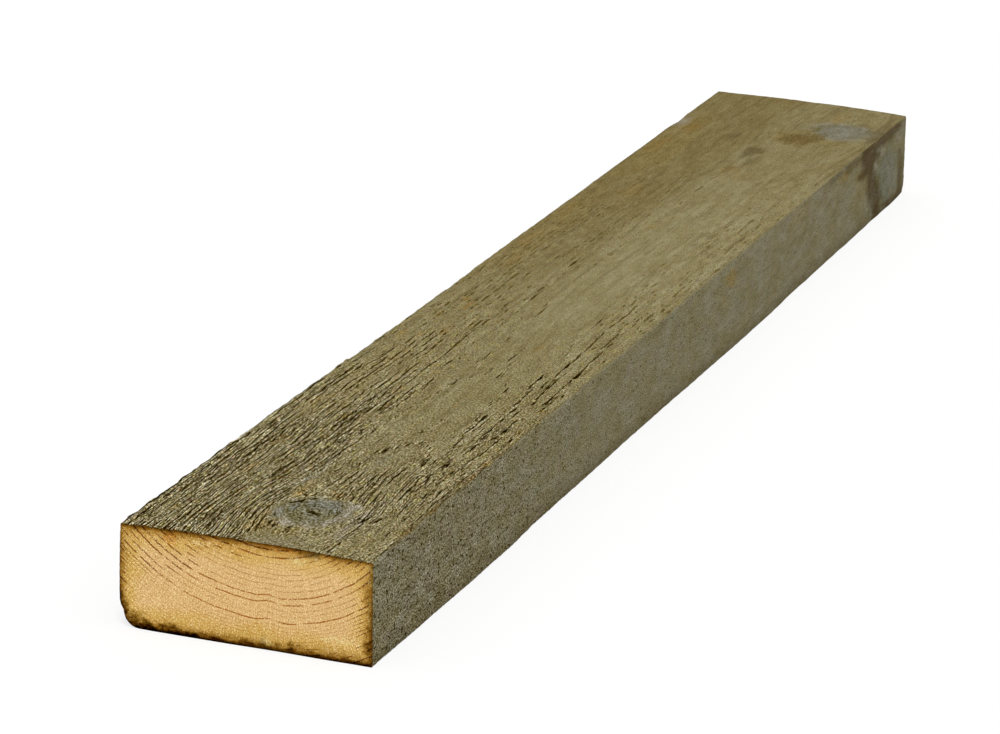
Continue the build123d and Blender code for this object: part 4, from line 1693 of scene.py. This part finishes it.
def face_colour(s, along, line, weight):
    """Olive with mossy and purplish streaks, strongest where the wood is torn."""
    cloud = s.noise(CLOUD, along, line)
    band = s.noise(BAND, along, line)
    tint = s.noise(TINT, along, line)
    rust = s.noise(RUST_SPOTS, along, line)
    tinted = weight.grow(*TINT_WEIGHT)
    mossy = tinted * along.fade(*MOSSY).grow(*MOSS_FRESHNESS)
    colour = s.mix(cloud.fade(0.38, 0.66), PLAIN_OLIVE, SMOOTH_OLIVE)
    colour = s.mix(band.fade(0.50, 0.34) * BAND_SHARE, colour, DEEP_OLIVE)
    colour = s.mix(tint.fade(0.52, 0.72) * mossy, colour, MOSS)
    colour = s.mix(tint.fade(0.46, 0.28) * tinted, colour, PURPLE_BROWN)
    colour = s.mix(rust.fade(0.54, 0.70) * weight.grow(*RUST_WEIGHT), colour, RUST)
    return s.mix(rust.fade(0.46, 0.30) * GREEN_SHARE, colour, KNOT_GREEN)


SIDE_WEAR = (0.18, 0.27, 0.55)  # pits at the far end, more of them further on, and more still at the near end
PIT_SHIFT = 0.04                # how much more of the near end is pitted
GRIT_DEPTH = 6.5
DARK_GRIT_DEPTH = -0.5
PIT_DEPTH = -1.3
NEAR_SIDE_DARKNESS = -0.05
# How strong these are at the far end, and how much stronger at the near one
SIDE_STREAK_FRESHNESS = (0.4, 0.6)
SIDE_MOTTLE_FRESHNESS = (0.6, 0.9)
SIDE_STREAK_HEIGHT = 0.3
SIDE_PIT_HEIGHT = -0.8


def side_shade(s, along, fibre):
    """Colour, depth of shade and height of the narrow sides: greyer, finely pitted, softly streaked."""
    tint = s.noise(SIDE_TINT, along, fibre)
    grit = s.noise(SIDE_GRIT, along, fibre)
    streak = s.noise(SIDE_STREAK, along, fibre)
    mottle = s.noise(SIDE_MOTTLE, along, fibre)
    colour = s.mix(s.noise(SIDE_CLOUD, along, fibre).fade(0.35, 0.65), SIDE_GREY, SIDE_OLIVE)
    colour = s.mix(tint.fade(0.50, 0.70) * SIDE_MAUVE_SHARE, colour, SIDE_MAUVE)
    colour = s.mix(tint.fade(0.46, 0.30) * SIDE_GREEN_SHARE, colour, SIDE_GREEN)
    near = along.fade(*SIDE_NEAR)
    far_wear, middle_wear, near_wear = SIDE_WEAR
    worn = along.fade(*SIDE_WORN) * middle_wear + far_wear + near * near_wear
    pits = (s.noise(SIDE_PITS, along, fibre) + near * PIT_SHIFT).fade(0.64, 0.71)
    depth = (grit - MIDDLE) * worn * GRIT_DEPTH + near * NEAR_SIDE_DARKNESS
    depth = depth + (streak - MIDDLE) * near.grow(*SIDE_STREAK_FRESHNESS)
    depth = depth + (mottle - MIDDLE) * near.grow(*SIDE_MOTTLE_FRESHNESS)
    depth = depth + grit.fade(0.44, 0.34) * worn * DARK_GRIT_DEPTH + pits * worn * PIT_DEPTH
    height = (grit + streak * SIDE_STREAK_HEIGHT) * worn + pits * SIDE_PIT_HEIGHT
    return colour, depth, height


# Shares of a knot's radius: how ragged its edge is, where its pale ring begins and ends, and where the
# knot fades out at the far end, with how much closer together these two are at the near one
KNOT_RAGGED_SHARE = 0.42
KNOT_RING_START_SHARES = (0.66, 0.84)
KNOT_RING_END_SHARES = (1.12, 0.94)
KNOT_OUTER_SHARES = (1.45, -0.27)
KNOT_INNER_SHARES = (0.60, 0.26)
KNOT_ARCS = 40.0            # how closely the dark arcs follow each other
ARC_SHOWN = (0.5, 1.0)
ARC_DARKNESS = -0.8
FLECK_DEPTH = (3.6, -3.0)   # in a knot, and how much less in its pale ring
KNOT_FRESHNESS = (0.1, 0.9)
KNOT_PALENESS = 0.08


def knot_shade(s, along, across, up, knot):
    """Colour of a knot, how far a place is in it, and its fine marks as a depth of shade."""
    def noise(pattern):
        return s.noise(pattern, along, across, up / pattern.width)

    cloud = noise(KNOT_CLOUD)
    reach = knot + (cloud - MIDDLE) * KNOT_RAGGED_SHARE
    colour = s.mix(noise(KNOT_BLUE).fade(0.42, 0.62), KNOT_GREEN, KNOT_GREY)
    ring = reach.fade(*KNOT_RING_START_SHARES) * reach.fade(*KNOT_RING_END_SHARES)
    colour = s.mix(ring * cloud.fade(0.62, 0.42) * KNOT_RING_SHARE, colour, KNOT_PALE)
    near = along.fade(*KNOT_NEAR)
    inside = reach.fade(near.grow(*KNOT_OUTER_SHARES), near.grow(*KNOT_INNER_SHARES))
    arcs = (reach * KNOT_ARCS).math("SINE").fade(*ARC_SHOWN)
    depth = (noise(KNOT_FLECK) - MIDDLE) * ring.grow(*FLECK_DEPTH)
    depth = depth + arcs * cloud.fade(0.40, 0.56) * ARC_DARKNESS
    depth = depth * near.grow(*KNOT_FRESHNESS) + near * KNOT_PALENESS
    return colour, inside, depth * inside


SOFT_STAIN = 0.75           # how dark the stains are where they have no crumbs
CRUMB_DEPTH = (1.5, 3.5)    # at the far end, and how much more at the near one


def stained(s, colour, along, fibre):
    """Lays the brown, grey and dark patches over a colour, with the brown ones' crumbs as a depth."""
    brown, grey, dark = s.parts("stains")
    ragged = s.noise(STAIN_EDGE, along, fibre)
    colour = s.mix(brown * BROWN_SHARE, colour, STAIN_BROWN)
    colour = s.mix(grey * GREY_SHARE, colour, MAUVE_GREY)
    near = along.fade(*STAIN_NEAR)
    patchy = near * (ragged.fade(0.20, 0.65) - SOFT_STAIN) + SOFT_STAIN
    colour = s.mix(dark * patchy, colour, DEEP_BROWN)
    return colour, (ragged - MIDDLE) * brown * near.grow(*CRUMB_DEPTH)


def fibre_material():
    """Dry, pale raised fibres."""
    s = Shade("loose_fibre")
    tone, tint, _ = s.parts("fibre_tone")
    colour = s.mix(tone, PLAIN_OLIVE, STRAW)
    colour = s.mix(tint.fade(0.6, 1.0), colour, MOSS)
    return s.finish(colour, 0.85, s.value("ShaderNodeNewGeometry", output="Normal"), 0.2)


# The crosscut ends

PEACH = paint(232, 190, 130)
HONEY = paint(222, 180, 96)
ORANGE = paint(200, 122, 22)
AMBER_SOAK = paint(202, 150, 64)
RING_DARK = paint(166, 96, 12)
RING_SOAKED = paint(116, 60, 8)
RAY_PALE = paint(240, 204, 146)
PALE_SPECK = paint(252, 236, 172)

END_CLOUD = Pattern(9, 7, 31, 3)
BLOTCH = Pattern(2.6, 2.2, 36)
END_RAGGED = Pattern(1.2, 1.2, 33, 4, 0.65)
RAY = Pattern(0.5, 8, 35, 1.5)
GRAIN = Pattern(0.36, 0.42, 37, 2, 0.65)
SAWN = Pattern(0.5, 0.5, 39, 3, 0.6)
RING_WOBBLE = Pattern(2.2, 2.2, 43)
RING_DASHES = Pattern(4.2, 1, 41, 3, 0.6)

HONEY_EDGE = (3.5, -2.0)        # from the rims inwards
HONEY_RAGGEDNESS = -9.0
SOAK_RAGGEDNESS = (-2.2, -2.4)  # of the fine and of the coarse noise
SOAK_SHARE = 0.8
RAY_SHARE = 0.4
RIM_RINGS = (2.5, 0.4)          # dark ring lines from the rims inwards
RIGHT_RINGS = (9.0, 1.5)        # and from the right side
RIGHT_RING_SHARE = 0.75
STRONG_RING_SHARE = 0.7
GRAIN_DEPTH = 0.42
GRAIN_LEVEL = 0.77
RAY_DEPTH = 0.35
SOAKED_DEPTH = 2.0
SOAKED_RIM = (3.0, 0.5)
END_PALE_POWERS = (1.16, 1.6)
END_DARK_POWERS = (1.2, 1.9)
END_BUMP = (0.0003, 0.5)        # metres and strength


def end_material():
    """The crosscut: pale orange wood with dark ring lines, soaked dark along its rims."""
    s = Shade("end_grain")
    across, up, count = s.parts("end_grain")
    top, left, right = s.parts("rim")
    around, outward, _ = s.parts("rays")
    orange, dirt, fresh = s.parts("end_stains")
    strong, green, pale = s.parts("end_lines")
    blotch = s.noise(BLOTCH, across, up)
    ragged = s.noise(END_RAGGED, across, up)
    ray = s.noise(RAY, around, outward)
    grain = s.noise(GRAIN, around, outward)
    nearest = top.at_most(up).at_most(left.at_most(right))

    honey = nearest + s.noise(END_CLOUD, across, up) * HONEY_RAGGEDNESS
    colour = s.mix(honey.fade(*HONEY_EDGE), PEACH, HONEY)
    colour = s.mix(ray.fade(0.52, 0.68) * RAY_SHARE, colour, RAY_PALE)
    fine, coarse = SOAK_RAGGEDNESS
    shaken = (ragged - MIDDLE) * fine + (blotch - MIDDLE) * coarse
    soak, rim_depth = rim_soaks((top, left, right, up), shaken, dirt)
    soak = soak.at_least(orange * blotch.fade(0.22, 0.50))
    colour = s.mix(soak * SOAK_SHARE, colour, s.mix(orange.fade(0.3, 0.9), AMBER_SOAK, ORANGE))
    soaked = soak.at_least(nearest.fade(*RIM_RINGS)).at_least(strong * STRONG_RING_SHARE)
    soaked = soaked.at_least(right.fade(*RIGHT_RINGS) * RIGHT_RING_SHARE)
    colour = ring_lines(s, colour, (across, up, around), count, fresh, soaked)
    specks = grain.fade(0.56, 0.68) + pale * ragged.fade(0.42, 0.56)
    colour = s.mix(specks.at_most(1.0), colour, PALE_SPECK)
    colour = s.mix(green * ragged.fade(0.3, 0.5), colour, DEEP_OLIVE)

    depth = (grain.fade(0.34, 0.56) - GRAIN_LEVEL) * GRAIN_DEPTH + (ray - MIDDLE) * RAY_DEPTH
    soaked_rim = soak.at_least(nearest.fade(*SOAKED_RIM))
    depth = depth + (ragged - MIDDLE) * soaked_rim * SOAKED_DEPTH + rim_depth
    colour = deepened(s, colour, depth, END_PALE_POWERS, END_DARK_POWERS)
    sawn = s.noise(SAWN, across, up)
    return s.finish(colour, 0.8, s.bump(sawn + grain, *END_BUMP), 0.0)


# How far preservative has soaked in from a rim, how dark the rim is and how fast that falls off
Soak = namedtuple("Soak", "reach darkness fade")
TOP_SOAK = Soak(3.6, 1.9, 0.7)
LEFT_SOAK = Soak(2.4, 1.2, 0.75)
RIGHT_SOAK = Soak(3.8, 1.7, 0.9)
BACK_SOAK = Soak(3.2, 3.0, 0.9)
SOAK_END = 0.2
SOAK_SHAKEN = (0.0, 1.2)    # the rim itself keeps its line, and is ragged this far in
WANE_REGION = (13.0, 6.0)   # the sum of the distances to the back and the left side
WANE_DARKNESS = 3.4
DIRT_HEAVY = (0.3, 1.0)
DIRT_DARKNESS = (1.0, 1.4)
DIRT_SPOTS = (0.2, 0.9)
SPOT_RAGGEDNESS = (0.6, -0.6)
SPOT_DARKNESS = 1.3


def rim_soaks(rims, shaken, dirt):
    """How far preservative has soaked in from the rims of a crosscut, and how deep it makes the shade."""
    top, left, right, up = rims
    wane_darkness = (up + left).fade(*WANE_REGION) * WANE_DARKNESS + LEFT_SOAK.darkness
    back_darkness = dirt.fade(*DIRT_HEAVY).grow(*DIRT_DARKNESS) * BACK_SOAK.darkness
    soaks = (
        (top, TOP_SOAK),
        (left, LEFT_SOAK._replace(darkness=wane_darkness)),
        (right, RIGHT_SOAK),
        (up, BACK_SOAK._replace(darkness=back_darkness)),
    )
    reaches, depths = [], []
    for distance, soak in soaks:
        off = (distance + shaken * distance.fade(*SOAK_SHAKEN)).at_least(0.0)
        reaches.append(off.fade(soak.reach, SOAK_END))
        depths.append((off / -soak.fade).math("EXPONENT") * soak.darkness)
    widest, deepest = reaches[0], depths[0]
    for reach, depth in zip(reaches[1:], depths[1:]):
        widest = widest.at_least(reach)
        deepest = deepest.at_least(depth)
    spots = dirt.fade(*DIRT_SPOTS) * shaken.fade(*SPOT_RAGGEDNESS)
    return widest, (deepest + spots * SPOT_DARKNESS) * -1.0


RING_WOBBLE_HEIGHT = 0.12
RING_LANE_STEP = 1.7
RING_HALF_WIDTH = (0.15, 0.02)  # in rings, in clean wood, and how much more in soaked wood
RING_CORE = 0.05
RING_STRENGTH = 0.9
SOAKED_RING_STRENGTH = 0.7
DASH_START = (0.33, 0.08)       # in clean wood, and how much more in soaked wood
DASH_FULL = 0.55
FRESH_RING_SHARE = (1.0, -0.75)
RING_BOLDNESS = 1.4


def ring_lines(s, colour, place, count, fresh, soaked):
    """Draws the thin dark line of each ring, as dark as that ring is listed."""
    across, up, around = place
    number = count.math("ROUND")
    wobble = (s.noise(RING_WOBBLE, across, up) - MIDDLE) * RING_WOBBLE_HEIGHT
    off = (count - number + wobble).math("ABSOLUTE")
    line = off.fade(soaked.grow(*RING_HALF_WIDTH), RING_CORE)
    dashes = s.noise(RING_DASHES, around, number * RING_LANE_STEP)
    shown = listed_strength(s, number) * RING_STRENGTH + soaked * SOAKED_RING_STRENGTH
    shown = shown * dashes.fade(soaked.grow(*DASH_START), DASH_FULL)
    shown = shown * fresh.grow(*FRESH_RING_SHARE)
    factor = (line * shown * RING_BOLDNESS).at_most(1.0)
    return s.mix(factor, colour, s.mix(soaked, RING_DARK, RING_SOAKED))


def listed_strength(s, number):
    """How dark a ring is, by its number in the list."""
    rings = len(RING_HEIGHTS)
    ramp = s.node("ShaderNodeValToRGB", {0: (number + MIDDLE) / rings})
    ramp.color_ramp.interpolation = "CONSTANT"
    stops = ramp.color_ramp.elements
    for index, (_, strength) in enumerate(RING_HEIGHTS):
        stop = stops[index] if index < len(stops) else stops.new(index / rings)
        stop.position = index / rings
        stop.color = (strength, strength, strength, 1.0)
    return Value(s, ramp.outputs[0])


# Pieces


def add_object(name, data):
    """Puts an object into the scene."""
    made = bpy.data.objects.new(name, data)
    bpy.context.collection.objects.link(made)
    return made


def add_piece(name, mesh, materials):
    """A piece of the board, which lies on the frame's one body."""
    piece = add_object(name, mesh)
    for material in materials:
        mesh.materials.append(material)
    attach(piece, "root")
    return piece


treated = treated_material()
grid = long_grid()
relief = long_relief(grid)
points = placed_points(grid, relief[0])
board = add_piece("board_wood", build_board(grid, relief, points), [treated, end_material()])
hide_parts("board")
add_piece("torn_fibres", build_fibres(grid, points, relief[3]), [fibre_material()])


# Camera, light and floor

CAMERA_PLACE = (-1192.12, -411.24, 405.94)
CAMERA_AZIMUTH = -69.938        # degrees, as the frame's own views count them
CAMERA_DOWN = 17.786
CAMERA_ROLL = 1.647
CAMERA_RANGE = (0.01, 50.0)     # metres
PICTURE_WIDTH_PX = 1000
FOCAL_PX = 4317.0
SENSOR_WIDTH = 36.0

SUN_TOWARD = (-0.35, -0.12, 0.93)
SUN_STRENGTH = 1.35
SUN_SOFTNESS = 14.0         # degrees
SKY_STRENGTH = 0.6

WHITE = (1.0, 1.0, 1.0, 1.0)
FLOOR_WHITE = (0.92, 0.92, 0.92, 1.0)
FLOOR_ROUGHNESS = 0.9
FLOOR_HALF_SIZE = 6.0       # metres
FLOOR_GLOW = 1.06
FLOOR_GLOW_SHARE = 0.7      # of what the camera sees. The rest keeps the board's shadow


def add_camera():
    """The camera at the place and with the lens that the photo was taken with."""
    turn = math.radians(CAMERA_AZIMUTH)
    down = math.radians(CAMERA_DOWN)
    forward = Vector((-math.sin(turn) * math.cos(down), math.cos(turn) * math.cos(down), -math.sin(down)))
    right = forward.cross(Vector((0, 0, 1))).normalized()
    upward = right.cross(forward)
    level = Matrix((right, upward, -forward)).transposed()
    rolled = level @ Matrix.Rotation(math.radians(CAMERA_ROLL), 3, "Z")
    data = bpy.data.cameras.new("camera")
    data.sensor_width = SENSOR_WIDTH
    data.lens = FOCAL_PX * SENSOR_WIDTH / PICTURE_WIDTH_PX
    data.clip_start, data.clip_end = CAMERA_RANGE
    camera = add_object("camera", data)
    camera.matrix_world = Matrix.Translation(Vector(CAMERA_PLACE) * MM) @ rolled.to_4x4()
    bpy.context.scene.camera = camera


def add_sun():
    """One soft lamp from above, a little from the near end and the right."""
    data = bpy.data.lights.new("key", "SUN")
    data.energy = SUN_STRENGTH
    data.angle = math.radians(SUN_SOFTNESS)
    lamp = add_object("key", data)
    lamp.rotation_mode = "QUATERNION"
    lamp.rotation_quaternion = Vector(SUN_TOWARD).to_track_quat("Z", "Y")


def add_world():
    """An even pale sky, which the camera and transmission rays see as white."""
    world = bpy.data.worlds.new("studio")
    bpy.context.scene.world = world
    world.use_nodes = True
    nodes, links = world.node_tree.nodes, world.node_tree.links
    sky = nodes["Background"]
    sky.inputs["Color"].default_value = WHITE
    path = nodes.new("ShaderNodeLightPath")
    seen = nodes.new("ShaderNodeMath")
    seen.operation = "MAXIMUM"
    links.new(path.outputs["Is Camera Ray"], seen.inputs[0])
    links.new(path.outputs["Is Transmission Ray"], seen.inputs[1])
    level = nodes.new("ShaderNodeMapRange")
    level.inputs["To Min"].default_value = SKY_STRENGTH
    level.inputs["To Max"].default_value = 1.0
    links.new(seen.outputs[0], level.inputs["Value"])
    links.new(level.outputs[0], sky.inputs["Strength"])


def floor_material():
    """White, and for the camera partly glowing, so that only the board's soft shadow is left on it."""
    s = Shade("floor")
    s.surface.inputs["Base Color"].default_value = FLOOR_WHITE
    s.surface.inputs["Roughness"].default_value = FLOOR_ROUGHNESS
    s.surface.inputs["Specular IOR Level"].default_value = 0.0
    glow = s.value("ShaderNodeEmission", {"Color": WHITE, "Strength": FLOOR_GLOW})
    share = s.value("ShaderNodeLightPath", output="Is Camera Ray") * FLOOR_GLOW_SHARE
    blend = s.value("ShaderNodeMixShader", {0: share, 1: Value(s, s.surface.outputs[0]), 2: glow})
    s.feed(s.tree.nodes["Material Output"].inputs["Surface"], blend)
    return s.material


def add_floor():
    """A wide white floor that keeps a soft shadow."""
    size = FLOOR_HALF_SIZE
    mesh = bpy.data.meshes.new("floor")
    corners = [(-size, -size, 0.0), (size, -size, 0.0), (size, size, 0.0), (-size, size, 0.0)]
    mesh.from_pydata(corners, [], [(0, 1, 2, 3)])
    mesh.materials.append(floor_material())
    floor = add_object("floor", mesh)


add_camera()
add_sun()
add_world()
add_floor()
bpy.context.scene.view_settings.view_transform = "Standard"
